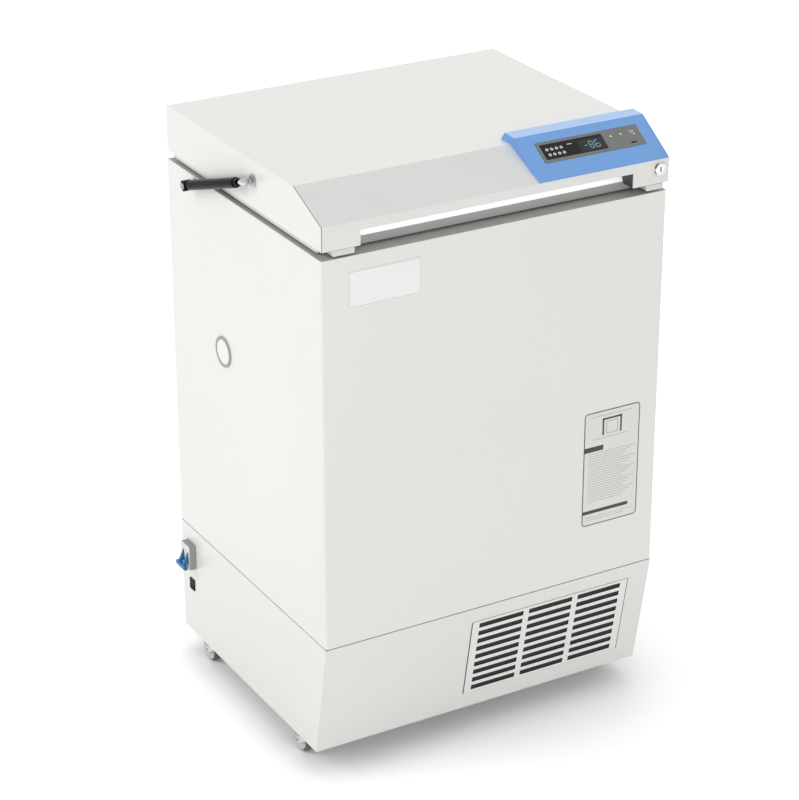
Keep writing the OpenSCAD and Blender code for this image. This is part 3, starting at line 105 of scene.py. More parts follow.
class Graph:
    """Short calls for placing and joining the nodes of one tree."""

    def __init__(self, tree: bpy.types.NodeTree) -> None:
        """Keeps the tree to work on."""
        self.tree = tree

    def feed(self, node: Node, inputs: dict) -> Node:
        """Sets a node's inputs.

        Args:
            node: The node.
            inputs: Values or output sockets for its inputs, by name or number.

        Returns:
            The same node.
        """
        for key, value in inputs.items():
            if isinstance(value, Socket):
                self.tree.links.new(value, node.inputs[key])
            else:
                node.inputs[key].default_value = value
        return node

    def add(self, kind: str, inputs: dict | None = None, **settings: object) -> Node:
        """Places a node.

        Args:
            kind: The node's type, without its Shader prefix.
            inputs: Values or output sockets for its inputs, by name or number.
            **settings: The node's own settings.

        Returns:
            The new node.
        """
        node = self.tree.nodes.new("ShaderNode" + kind)
        for key, value in settings.items():
            setattr(node, key, value)
        return self.feed(node, inputs or {})

    def group(self, tree: bpy.types.NodeTree, **values: object) -> Node:
        """Places a shared group with its own values."""
        return self.add("Group", values, node_tree=tree)

    def math(self, operation: str, *values: object) -> Socket:
        """Gives the result of one sum."""
        return self.add("Math", dict(enumerate(values)), operation=operation).outputs[0]

    def span(self, value: Socket, known: Sequence = (0.0, 1.0), wanted: Sequence = (0.0, 1.0),
             **settings: object) -> Socket:
        """Maps a value from one range to another.

        Args:
            value: The value.
            known: The two ends of its own range.
            wanted: The two ends of the new range, as numbers or sockets.
            **settings: The node's own settings.

        Returns:
            The mapped value.
        """
        inputs = {"Value": value, "From Min": known[0], "From Max": known[1],
                  "To Min": wanted[0], "To Max": wanted[1]}
        return self.add("MapRange", inputs, **settings).outputs[0]

    def noise(self, scale: object, detail: float, at: Socket | None = None) -> Socket:
        """Gives cloudy noise by the place on the piece, or by another place."""
        at = self.place() if at is None else at
        return self.add("TexNoise", {"Vector": at, "Scale": scale, "Detail": detail}).outputs["Fac"]

    def bump(self, height: Socket, distance: object, strength: object) -> Socket:
        """Gives the normals of a relief."""
        inputs = {"Height": height, "Distance": distance, "Strength": strength}
        return self.add("Bump", inputs).outputs["Normal"]

    def shade(self, colour: Socket, value: Socket) -> Socket:
        """Gives a colour, brighter or darker."""
        return self.add("HueSaturation", {"Color": colour, "Value": value}).outputs["Color"]

    def place(self) -> Socket:
        """Gives the place on the piece, in metres."""
        return self.add("TexCoord").outputs["Object"]

    def backdrop(self) -> Socket:
        """Gives 1 to the rays that show the surroundings: camera, glossy and transmitted ones."""
        path = self.add("LightPath")
        share = path.outputs["Is Camera Ray"]
        for other in ("Is Glossy Ray", "Is Transmission Ray"):
            share = self.math("MAXIMUM", share, path.outputs[other])
        return share


def cleared(owner: bpy.types.Material | bpy.types.World) -> Graph:
    """Turns on the nodes of a material or a world and gives its emptied tree."""
    owner.use_nodes = True
    owner.node_tree.nodes.clear()
    return Graph(owner.node_tree)


def node_group(name: str, inputs: dict, outputs: dict[str, str],
               fill: Callable[[Graph, Node, Node], None]) -> bpy.types.NodeTree:
    """Builds a shared shader group once.

    Args:
        name: The group's name.
        inputs: Each input's name and default: a number, a vector of 3 or a colour of 4.
        outputs: Each output's name and socket kind.
        fill: Places the nodes between the group's two ends.

    Returns:
        The group's tree.
    """
    tree = bpy.data.node_groups.new(name, "ShaderNodeTree")
    for label, default in inputs.items():
        kind = "Float" if isinstance(default, float) else {3: "Vector", 4: "Color"}[len(default)]
        socket = tree.interface.new_socket(label, in_out="INPUT", socket_type="NodeSocket" + kind)
        socket.default_value = default
    for label, kind in outputs.items():
        tree.interface.new_socket(label, in_out="OUTPUT", socket_type="NodeSocket" + kind)
    fill(Graph(tree), tree.nodes.new("NodeGroupInput"), tree.nodes.new("NodeGroupOutput"))
    return tree


class Effects:
    """The surface effects that several finishes share.

    Each is a node group, which its own method fills: g is its graph, start and end are its ends.
    """

    def __init__(self) -> None:
        """Builds the groups."""
        self.drift = node_group(
            "tone_drift", {"Color": WHITE, "Scale": 3.0, "Amount": 0.02}, {"Color": "Color"}, self._drift)
        self.relief = node_group(
            "fine_relief", {"Scale": 900.0, "Distance": 0.0001, "Strength": 0.2}, {"Normal": "Vector"},
            self._relief)
        self.sheen = node_group(
            "roughness_drift", {"Roughness": 0.3, "Scale": 12.0, "Amount": 0.05}, {"Roughness": "Float"},
            self._sheen)
        self.dust = node_group(
            "settled_dust_and_top_highlight", {"Color": WHITE, "Dust": (0.5, 0.48, 0.44, 1), "Amount": 0.05},
            {"Color": "Color"}, self._dust_and_top_highlight)
        self.brush = node_group(
            "brushed_grain", {"Stretch": (1, 1, 60), "Scale": 40.0, "Amount": 0.1, "Relief": 0.25},
            {"Value": "Float", "Normal": "Vector"}, self._brush)

    @staticmethod
    def _drift(g: Graph, start: Node, end: Node) -> None:
        """Lets the brightness wander slowly over the piece."""
        noise = g.noise(start.outputs["Scale"], 3.0)
        low = g.math("SUBTRACT", 1.0, start.outputs["Amount"])
        high = g.math("ADD", 1.0, start.outputs["Amount"])
        g.feed(end, {"Color": g.shade(start.outputs["Color"], g.span(noise, (0.3, 0.7), (low, high)))})

    @staticmethod
    def _relief(g: Graph, start: Node, end: Node) -> None:
        """Raises the fine skin of paint or moulded plastic."""
        noise = g.noise(start.outputs["Scale"], 2.0)
        g.feed(end, {"Normal": g.bump(noise, start.outputs["Distance"], start.outputs["Strength"])})

    @staticmethod
    def _sheen(g: Graph, start: Node, end: Node) -> None:
        """Lets the roughness wander, as wiped and handled surfaces do."""
        shift = g.math("SUBTRACT", g.noise(start.outputs["Scale"], 4.0), 0.5)
        rough = g.math("MULTIPLY_ADD", shift, start.outputs["Amount"], start.outputs["Roughness"])
        g.feed(end, {"Roughness": rough})

    @staticmethod
    def _dust_and_top_highlight(g: Graph, start: Node, end: Node) -> None:
        """Lays a little dust on what faces up; a larger amount paints a highlight along the top."""
        up = g.add("SeparateXYZ", {0: g.add("NewGeometry").outputs["Normal"]}).outputs["Z"]
        patch = g.math("MULTIPLY", g.span(up, (0.2, 1.0)), g.noise(18.0, 5.0))
        share = g.math("MULTIPLY", patch, start.outputs["Amount"])
        first, second = 6, 7  # the colour inputs of a Mix node, which share their names with others
        mix = g.add("Mix", {"Factor": share, first: start.outputs["Color"], second: start.outputs["Dust"]},
                    data_type="RGBA")
        g.feed(end, {"Color": mix.outputs[2]})

    @staticmethod
    def _brush(g: Graph, start: Node, end: Node) -> None:
        """Draws the long fine scratches of rolled or brushed metal."""
        at = g.add("VectorMath", {0: g.place(), 1: start.outputs["Stretch"]}, operation="MULTIPLY")
        noise = g.noise(start.outputs["Scale"], 4.0, at.outputs[0])
        value = g.math("MULTIPLY", noise, start.outputs["Amount"])
        g.feed(end, {"Value": value, "Normal": g.bump(noise, 0.00005, start.outputs["Relief"])})


# Finishes


@dataclass(frozen=True)
class Finish:
    """One finish of the object, from which its material is made."""

    name: str
    tone: str

    @property
    def colour(self) -> Triple:
        """Gives the tone, as seen on a screen, in linear light."""
        return srgb(self.tone)

    def material(self, fx: Effects) -> bpy.types.Material:
        """Makes the material.

        Args:
            fx: The shared effects.

        Returns:
            The material, with all its nodes.
        """
        material = bpy.data.materials.new(self.name)
        g = cleared(material)
        shader = g.add("BsdfPrincipled")
        g.add("OutputMaterial", {"Surface": shader.outputs[0]})
        self.dress(g, shader, fx)
        return material

    def dress(self, g: Graph, shader: Node, fx: Effects) -> None:
        """Sets the shader; each kind of finish has its own."""
        raise NotImplementedError

    def tinted(self, g: Graph, fx: Effects, scale: float, amount: float) -> Socket:
        """Gives the colour with its slow drift."""
        drift = g.group(fx.drift, Color=(*self.colour, 1), Scale=scale, Amount=amount)
        return drift.outputs["Color"]


@dataclass(frozen=True)
class Skin(Finish):
    """A coloured skin with a fine relief, handling marks and a little dust."""

    rough: float = 0.42
    dust: float = 0.04

    def lay(self, g: Graph, shader: Node, fx: Effects, drift: Pair, wear: Pair, relief: Triple) -> None:
        """Lays the skin on the shader.

        Args:
            g: The material's graph.
            shader: Its Principled shader.
            fx: The shared effects.
            drift: Scale and amount of the drift in its colour.
            wear: Scale and amount of the drift in its roughness.
            relief: Scale, depth and strength of its grain.
        """
        dust_and_highlight = g.group(fx.dust, Amount=self.dust, Color=self.tinted(g, fx, *drift))
        sheen = g.group(fx.sheen, Roughness=self.rough, Scale=wear[0], Amount=wear[1])
        grain = g.group(fx.relief, Scale=relief[0], Distance=relief[1], Strength=relief[2])
        g.feed(shader, {"Base Color": dust_and_highlight.outputs["Color"], "Roughness": sheen.outputs["Roughness"],
                        "Normal": grain.outputs["Normal"]})


@dataclass(frozen=True)
class Enamel(Skin):
    """Stoved paint on sheet steel: a faint orange peel under a smooth gloss."""

    rough: float = 0.34
    peel: float = 0.12
    dust: float = 0.05

    def dress(self, g: Graph, shader: Node, fx: Effects) -> None:
        """Paints the sheet."""
        self.lay(g, shader, fx, (2.2, 0.012), (9.0, 0.10), (420.0, 0.00012, self.peel))
        g.feed(shader, {"Coat Weight": 0.15, "Coat Roughness": 0.12})


@dataclass(frozen=True)
class Moulding(Skin):
    """Moulded plastic with a fine spark-eroded grain."""

    grain: float = 0.25
    grain_scale: float = 1500.0
    drift: float = 0.02
    specular: float = 0.5

    def dress(self, g: Graph, shader: Node, fx: Effects) -> None:
        """Colours and grains the plastic."""
        self.lay(g, shader, fx, (6.0, self.drift), (30.0, 0.14), (self.grain_scale, 0.0001, self.grain))
        g.feed(shader, {"Specular IOR Level": self.specular})


@dataclass(frozen=True)
class Smooth(Moulding):
    """Ink, film or a fitted plastic face that gathers no dust."""

    grain: float = 0.05
    dust: float = 0.0


@dataclass(frozen=True)
class Metal(Finish):
    """Bare or plated metal with rolled streaks."""

    rough: float = 0.32
    streak: float = 0.12
    stretch: tuple[float, float, float] = (1.0, 1.0, 40.0)
    scale: float = 60.0
    metallic: float = 1.0
    relief: float = 0.25

    def dress(self, g: Graph, shader: Node, fx: Effects) -> None:
        """Shows the metal and its streaks."""
        brush = g.group(fx.brush, Stretch=self.stretch, Scale=self.scale, Amount=self.streak,
                        Relief=self.relief)
        rough = g.math("ADD", brush.outputs["Value"], self.rough - self.streak / 2)
        g.feed(shader, {"Metallic": self.metallic, "Base Color": self.tinted(g, fx, 14.0, 0.05),
                        "Roughness": rough, "Normal": brush.outputs["Normal"]})


@dataclass(frozen=True)
class Foam(Finish):
    """Blown foam with open cells."""

    cell: float = 260.0

    def dress(self, g: Graph, shader: Node, fx: Effects) -> None:
        """Pits the foam with its cells."""
        cells = g.add("TexVoronoi", {"Vector": g.place(), "Scale": self.cell}).outputs["Distance"]
        tint = g.shade(self.tinted(g, fx, 8.0, 0.06), g.span(cells, (0.0, 0.6), (0.82, 1.0)))
        g.feed(shader, {"Base Color": tint, "Normal": g.bump(cells, 0.0006, 0.5), "Roughness": 0.9})


@dataclass(frozen=True)
class Weave(Finish):
    """A woven plastic filter net."""

    pitch: float = 1.6 * MM

    def dress(self, g: Graph, shader: Node, fx: Effects) -> None:
        """Weaves the net across the piece."""
        turn = math.pi / (self.pitch / 2)
        part = g.add("SeparateXYZ", {0: g.place()})
        waves = [g.math("SINE", g.math("MULTIPLY", part.outputs[axis], turn)) for axis in ("X", "Z")]
        height = g.math("MULTIPLY", *waves)
        tint = g.shade(self.tinted(g, fx, 20.0, 0.1), g.span(height, (-1.0, 1.0), (0.35, 1.3)))
        g.feed(shader, {"Base Color": tint, "Normal": g.bump(height, 0.0005, 0.6), "Roughness": 0.75})


@dataclass(frozen=True)
class Glow(Finish):
    """A lit segment of the display, or the white strip in the lid's grip, which glows as a painted highlight
    though it is no lamp.
    """

    strength: float = 1.0

    def dress(self, g: Graph, shader: Node, fx: Effects) -> None:
        """Lights the piece, with a little unevenness in its colour."""
        g.feed(shader, {"Base Color": self.tinted(g, fx, 400.0, 0.08), "Roughness": 0.4,
                        "Emission Color": (*self.colour, 1), "Emission Strength": self.strength})


class Finishes:
    """Every finish of the freezer, made once and handed out by name."""

    def __init__(self, fx: Effects) -> None:
        """Makes the materials."""
        wanted: list[Finish] = [
            Enamel("white_enamel", "F0F0EC"),
            Enamel("base_enamel", "EFEFEB"),
            Moulding("fascia_white", "EEEEEB", rough=0.36, grain=0.1),
            # Painted shade: a darker copy of the fascia's white for its up-facing slope.
            Moulding("fascia_slope_shade", "E1E1DF", rough=0.36, grain=0.1),
            Moulding("frame_white", "E4E4E2", rough=0.34, grain=0.08),
            # Painted highlight: the grip's strip glows white though it is no lamp.
            Glow("grip_glow_highlight", "FDFDFD", strength=0.35),
            # Painted shadow on the grip's right end wall.
            Smooth("grip_end_shadow", "444443", rough=0.5, grain=0.15),
            # Painted shade: the frame's white, darker, for the grip's back wall.
            Smooth("grip_wall_shade", "B6B6B5", rough=0.45, grain=0.15),
            Moulding("collar_grey", "B2B2AE", rough=0.5, grain=0.2),
            Moulding("plug_white", "FBFBF9", rough=0.5, grain=0.3),
            Moulding("grille_white", "F4F4F1", rough=0.4, grain=0.12),
            Moulding("breaker_white", "E6E7E4", rough=0.5, grain=0.3),
            Moulding("breaker_grey", "9A9B97", rough=0.5, grain=0.3),
            Moulding("lever_blue", "1B6AA6", rough=0.38, grain=0.1),
            # Painted highlight: the lightest of these blues is for the console's flat top.
            *(Smooth(name, tone, rough=0.38, grain=0.1, drift=0.015) for name, tone in (
                # Painted shade: the middle blue is a darker strip along the console's right edge.
                ("console_blue", "74A6E4"), ("console_edge_shade", "5C87C0"), ("console_top_highlight", "B0D0FA"))),
            Smooth("panel_grey", "747674", rough=0.32),
            Smooth("display_black", "141416", rough=0.2, grain=0.0, specular=0.25),
            # Also the painted reflection bands round the lock's collar.
            Smooth("print_and_reflection_dark", "3A3B3C", rough=0.5),
            # Also the painted shadow of the lip on the corner blocks.
            Smooth("joint_and_shadow_grey", "787978", rough=0.6, grain=0.1),
            # Also the painted shade of the thin gap above and below the grille.
            Smooth("print_and_gap_shade_grey", "B4B5B2", rough=0.5),
            Smooth("print_white", "E6E8E8", rough=0.4),
            Smooth("card_white", "E9E9E6", rough=0.3, grain=0.03),
            Smooth("plate_white", "FBFBFA", rough=0.22, grain=0.03),
            Moulding("grey_plastic", "55585A", rough=0.5, grain=0.35),
            Moulding("ring_grey", "A2A3A3", rough=0.4, grain=0.2),
            Smooth("black_plastic", "151517", rough=0.4, grain=0.25, drift=0.08, specular=0.2),
            # Painted shade: near-black for slots, gaps and the keyhole, where shade falls.
            Smooth("gap_shade_black", "161617", rough=0.8, grain=0.1, specular=0.05),
            Smooth("window_tint", "2B2F31", rough=0.25, grain=0.0, specular=0.25),
            Moulding("gasket_grey", "7A7C7C", rough=0.62, grain=0.4, grain_scale=700.0, drift=0.05),
            Moulding("wheel_grey", "D6D6D2", rough=0.45, grain=0.2, drift=0.05),
            Moulding("tread_grey", "6E7071", rough=0.7, grain=0.5, grain_scale=600.0, drift=0.1),
            Moulding("pedal_white", "E4E4E0", rough=0.4, grain=0.15),
            Enamel("black_enamel", "17171A", rough=0.28, peel=0.05, dust=0.02),
            # Its raised dust paints a highlight along the tube's top.
            Moulding("tube_black", "0A0A0B", rough=0.15, grain=0.0, dust=0.12, specular=0.03),
            Smooth("rocker_black", "060607", rough=0.35, grain=0.1, specular=0.08),
            Enamel("frame_grey", "55585B", rough=0.5, peel=0.3),
            Metal("stainless", "DCDDDC", rough=0.38, streak=0.08, metallic=0.75, relief=0.06),
            Metal("zinc_steel", "B9BBBC", rough=0.4, streak=0.2, stretch=(12.0, 1.0, 12.0), scale=30.0),
            Metal("fin_aluminium", "CBCDCF", rough=0.35),
            Metal("copper", "C8825F", rough=0.3, stretch=EVEN),
            Metal("chrome", "BFC0C2", rough=0.12, streak=0.04, stretch=EVEN),
            Metal("lock_nickel", "DEDFDF", rough=0.2, streak=0.05, stretch=EVEN),
            Foam("pu_foam", "DDCFA3"),
            Weave("filter_black", "2A2A2C"),
            Glow("segment_light", "7E9AAB", strength=0.22),
        ]
        self.by_name = {f.name: f.material(fx) for f in wanted}

    def on(self, piece: Piece, name: str) -> None:
        """Gives a piece one finish all over."""
        piece.data.materials.clear()
        piece.data.materials.append(self.by_name[name])


# Modelling


def deselect() -> None:
    """Leaves edit mode and selects nothing."""
    if bpy.context.object and bpy.context.object.mode != "OBJECT":
        bpy.ops.object.mode_set(mode="OBJECT")
    bpy.ops.object.select_all(action="DESELECT")


def focus(piece: Piece) -> None:
    """Selects one piece alone and makes it active."""
    deselect()
    piece.select_set(True)
    bpy.context.view_layer.objects.active = piece


def edit_all() -> None:
    """Goes into edit mode with everything selected."""
    bpy.ops.object.mode_set(mode="EDIT")
    bpy.ops.mesh.select_all(action="SELECT")


def close_up() -> None:
    """Points all faces outwards and leaves edit mode."""
    bpy.ops.mesh.select_all(action="SELECT")
    bpy.ops.mesh.normals_make_consistent(inside=False)
    bpy.ops.object.mode_set(mode="OBJECT")


def seat(piece: Piece, place: Matrix) -> Piece:
    """Moves a piece to its place and writes that place into its mesh.

    Args:
        piece: The piece.
        place: Where it goes, from where it is.

    Returns:
        The same piece, with its object at the origin.
    """
    focus(piece)
    piece.matrix_world = place @ piece.matrix_world
    bpy.context.view_layer.update()
    bpy.ops.object.transform_apply(location=True, rotation=True, scale=True)
    return piece


def finish_edges(piece: Piece, width: float, segments: int = 2, angle: float = 28.0) -> Piece:
    """Rounds the sharp edges of a piece and smooths its shading.

    Args:
        piece: The piece, with a merged mesh.
        width: The bevel's width in metres, or 0 for none.
        segments: Steps across the bevel.
        angle: The least angle in degrees of an edge that is rounded.

    Returns:
        The same piece.
    """
    focus(piece)
    if width > 0:
        bevel = piece.modifiers.new("edge", "BEVEL")
        bevel.width, bevel.segments = width, segments
        bevel.limit_method, bevel.angle_limit = "ANGLE", math.radians(angle)
        bpy.ops.object.modifier_apply(modifier=bevel.name)
    bpy.ops.object.shade_smooth_by_angle(angle=math.radians(40))
    weighted = piece.modifiers.new("flat_faces", "WEIGHTED_NORMAL")
    weighted.keep_sharp = True
    bpy.ops.object.modifier_apply(modifier=weighted.name)
    return piece


def named(piece: Piece, name: str) -> Piece:
    """Names a piece and its mesh."""
    piece.name = piece.data.name = name
    return piece


def box(name: str, size: Sequence[float], centre: Sequence[float]) -> Piece:
    """Makes a thin bar or block, to be joined to others.

    Args:
        name: The piece's name.
        size: Its size in metres.
        centre: Its middle in metres.

    Returns:
        The piece.
    """
    deselect()
    bpy.ops.mesh.primitive_cube_add(size=1)
    piece = named(bpy.context.object, name)
    seat(piece, Matrix.Translation(centre) @ Matrix.Diagonal((*size, 1)))
    return finish_edges(piece, 0.0)


def plate(name: str, width: float, height: float, thick: float, radius: float, edge: float = 0.0,
          steps: int = 6, inset: float = 0.0) -> Piece:
    """Makes a flat plate or a rim in X and Y with round corners, its back on Z 0.

    Args:
        name: The piece's name.
        width: Size along X.
        height: Size along Y.
        thick: Thickness.
        radius: Radius of the corners.
        edge: Radius of the front edge.
        steps: Steps round each corner.
        inset: Width of the rim that is left if the middle is cut away.

    Returns:
        The piece.
    """
    deselect()
    bpy.ops.mesh.primitive_plane_add(size=1)
    piece = named(bpy.context.object, name)
    seat(piece, Matrix.Diagonal((width, height, 1, 1)))
    edit_all()
    bpy.ops.mesh.bevel(offset=radius, offset_type="OFFSET", segments=steps, affect="VERTICES")
    if inset > 0:
        bpy.ops.mesh.select_all(action="SELECT")
        bpy.ops.mesh.inset(thickness=inset)
        bpy.ops.mesh.delete(type="FACE")
        bpy.ops.mesh.select_all(action="SELECT")
    bpy.ops.mesh.extrude_region_move(TRANSFORM_OT_translate={"value": (0, 0, thick)})
    close_up()
    return finish_edges(piece, edge, 2, 60.0)


def turned(name: str, profile: Sequence[Pair], steps: int = 40) -> Piece:
    """Turns a closed round piece about Z, ring by ring.

    Args:
        name: The piece's name.
        profile: Radius and height of each ring, in metres.
        steps: Corners of each ring.

    Returns:
        The piece.
    """
    deselect()
    r, z = profile[0]
    bpy.ops.mesh.primitive_circle_add(vertices=steps, radius=r, fill_type="NGON", location=(0, 0, z))
    piece = named(bpy.context.object, name)
    seat(piece, Matrix.Identity(4))
    edit_all()
    for (r0, z0), (r1, z1) in zip(profile, profile[1:]):
        bpy.ops.mesh.extrude_region_move(TRANSFORM_OT_translate={"value": (0, 0, z1 - z0)})
        bpy.ops.transform.resize(value=(r1 / r0, r1 / r0, 1), center_override=(0, 0, z1))
    close_up()
    bpy.ops.object.shade_smooth_by_angle(angle=math.radians(35))
    return piece


def joined(name: str, pieces: Sequence[Piece]) -> Piece:
    """Joins pieces of one finish into one mesh.

    Args:
        name: The new piece's name.
        pieces: The pieces, which are used up.

    Returns:
        The new piece.
    """
    focus(pieces[0])
    for piece in pieces:
        piece.select_set(True)
    bpy.ops.object.join()
    return named(bpy.context.object, name)


class Shop:
    """What every sub-assembly needs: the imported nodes, the finishes and how a piece is handed over."""

    def __init__(self, frame: dict, finishes: Finishes) -> None:
        """Keeps the frame and the finishes."""
        self.nodes: dict[str, Piece] = frame["nodes"]
        self.finishes = finishes

    def fit(self, piece: Piece, body: str, finish: str, replaces: Iterable[str] = ()) -> Piece:
        """Hands a finished piece over.

        Args:
            piece: The piece, in its place.
            body: The body that it rides on.
            finish: Its finish.
            replaces: Nodes that it stands for.

        Returns:
            The piece.
        """
        self.finishes.on(piece, finish)
        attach(piece, body)
        for node in replaces:
            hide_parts(node)
        log.info("%s rides on %s", piece.name, body)
        return piece

    def recolour(self, piece: Piece, finish: str, wanted: Callable[[Vector, Vector], bool]) -> None:
        """Gives some faces of a piece a second finish.

        Args:
            piece: The piece.
            finish: The second finish.
            wanted: Tells from a face's middle and its normal whether it is meant.
        """
        piece.data.materials.append(self.finishes.by_name[finish])
        slot = len(piece.data.materials) - 1
        for face in piece.data.polygons:
            if wanted(face.center, face.normal):
                face.material_index = slot

    def paint(self, finish: str, *nodes: str) -> None:
        """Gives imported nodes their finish."""
        for node in nodes:
            self.finishes.on(self.nodes[node], finish)

    def soften(self, node: str, body: str, finish: str, width: float = 0.4 * MM, segments: int = 2,
               reshape: Callable[[Vector], Vector] | None = None) -> Piece:
        """Makes a copy of a node with rounded edges, which stands for it.

        Args:
            node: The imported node.
            body: The body that it rides on.
            finish: Its finish.
            width: The bevel's width in metres.
            segments: Steps across the bevel.
            reshape: Gives the new place of a corner, where the piece is finer than the node.

        Returns:
            The new piece.
        """
        source = self.nodes[node]
        piece = bpy.data.objects.new(node + "_finished", source.data.copy())
        bpy.context.scene.collection.objects.link(piece)
        focus(piece)
        if piece.data.has_custom_normals:
            bpy.ops.mesh.customdata_custom_splitnormals_clear()
        edit_all()
        bpy.ops.mesh.remove_doubles(threshold=0.00001)
        bpy.ops.mesh.dissolve_limited(angle_limit=math.radians(0.3))
        bpy.ops.object.mode_set(mode="OBJECT")
        for corner in piece.data.vertices if reshape else ():
            corner.co = reshape(corner.co)
        finish_edges(piece, width, segments)
        return self.fit(piece, body, finish, [node])


def slope_frame(foot: Vector, angle: float) -> Matrix:
    """Gives the place of a sloping face: X across, Y up the slope, Z outwards.

    Args:
        foot: A point on the face's lower edge, at X 0.
        angle: The slope's angle in radians, from level.

    Returns:
        The place.
    """
    return Matrix.Translation(foot) @ Matrix.Rotation(angle, 4, "X")


@dataclass
class Cabinet:
    """The insulated cabinet, its chamber and what is fitted to its skin."""

    front: float = -0.297
    badge_low: Pair = (-0.2806, 0.8802)
    badge_high: Pair = (-0.1477, 0.9433)
    badge_thick: float = 1.2 * MM
    card_low: Pair = (0.178, 0.3713)
    card_high: Pair = (0.292, 0.5877)
    card_round: float = 7 * MM
    print_lift: float = 0.05 * MM
    print_thick: float = 0.3 * MM
    pictogram: float = 24 * MM
    text_rows: int = 20
    text_top: float = 79.0
    text_pitch: float = 4.85

    def build(self, shop: Shop) -> None:
        """Dresses the cabinet."""
        for node in ("cabinet_wrapper", "cabinet_back_panel"):
            shop.soften(node, "cabinet", "white_enamel")
        shop.paint("zinc_steel", "cabinet_bulkhead")
        shop.paint("pu_foam", "cabinet_foam")
        shop.paint("copper", "evaporator_coil")
        shop.soften("chamber_liner", "cabinet", "stainless", 0.3 * MM)
        shop.soften("mouth_collar", "cabinet", "collar_grey", 1.2 * MM)
        shop.soften("port_sleeve", "cabinet", "ring_grey", 0.6 * MM)
        shop.soften("port_plug", "plug", "plug_white", 1.2 * MM)
        shop.soften("hinge_cabinet_leaves", "cabinet", "zinc_steel")
        shop.soften("wall_spacers", "cabinet", "grey_plastic", 2.5 * MM, 3)
        self.badge(shop)
        self.card(shop)

    def upright(self, x: float, z: float) -> Matrix:
        """Gives a place on the front face, facing forwards."""
        return Matrix.Translation((x, self.front, z)) @ Matrix.Rotation(math.pi / 2, 4, "X")

    def panel(self, low: Pair, high: Pair) -> tuple[float, float, Matrix]:
        """Gives the width, height and place of a flat piece on the front, from two corners."""
        middle = self.upright((low[0] + high[0]) / 2, (low[1] + high[1]) / 2)
        return high[0] - low[0], high[1] - low[1], middle

    def badge(self, shop: Shop) -> None:
        """Makes the bare plate in the badge's place, with a fine rim."""
        width, height, middle = self.panel(self.badge_low, self.badge_high)
        base = plate("badge_plate", width, height, self.badge_thick, 1.5 * MM, 0.4 * MM)
        shop.fit(seat(base, middle), "cabinet", "plate_white")
        margin = 3 * MM
        rim = plate("badge_rim", width - margin, height - margin, 0.25 * MM, 1.0 * MM, inset=0.5 * MM)
        lifted = middle @ Matrix.Translation((0, 0, self.badge_thick - self.print_lift))
        shop.fit(seat(rim, lifted), "cabinet", "print_and_gap_shade_grey")

    def card(self, shop: Shop) -> None:
        """Makes the user card: an outline, a plain pictogram, two tabs and ruled lines."""
        width, height, middle = self.panel(self.card_low, self.card_high)
        sheet = plate("user_card", width, height, 0.25 * MM, self.card_round)
        shop.fit(seat(sheet, middle), "cabinet", "card_white")
        outline = plate("card_outline", width, height, 0.4 * MM, self.card_round, inset=1.5 * MM)
        outline.data.transform(Matrix.Translation((0, 0, self.print_lift)))
        top = height / 2 / MM
        lintel, posts, tabs = (
            [(-20, 20, top - 18.5, top - 15)],
            [(-20, -16.6, top - 47, top - 15), (16.6, 20, top - 47, top - 15)],
            [(-57, -17, top - 74.5, top - 65), (-57, 38, 22.5 - top, 29 - top)],
        )
        dark = [outline] + [self.stroke("card_mark", *edges) for edges in lintel + posts + tabs]
        shop.fit(seat(joined("card_marks", dark), middle), "cabinet", "print_and_reflection_dark")
        side = self.pictogram
        frame = plate("card_square", side, side, self.print_thick, 0.8 * MM, inset=1.3 * MM)
        frame.data.transform(Matrix.Translation((0, (top - 33.5) * MM, self.print_lift)))
        text = [(-48, 49 - 8 * (row * 5 % 4), top - self.text_top - self.text_pitch * row)
                for row in range(self.text_rows)]
        headings = [(-43, 39, top - 9.5), (-39, 34, top - 52.5)]
        footer = [(-50, 48, 15 - top), (-50, 30, 10 - top)]
        rules = [self.stroke("card_rule", x0, x1, y, y + 1) for x0, x1, y in text + headings + footer]
        pale = joined("card_rules", [frame, *rules])
        shop.fit(seat(pale, middle), "cabinet", "print_and_gap_shade_grey")

    def stroke(self, name: str, x0: float, x1: float, y0: float, y1: float) -> Piece:
        """Makes one printed bar of the card, from its edges in millimetres."""
        middle = ((x0 + x1) / 2 * MM, (y0 + y1) / 2 * MM, 0.2 * MM)
        return box(name, ((x1 - x0) * MM, (y1 - y0) * MM, self.print_thick), middle)


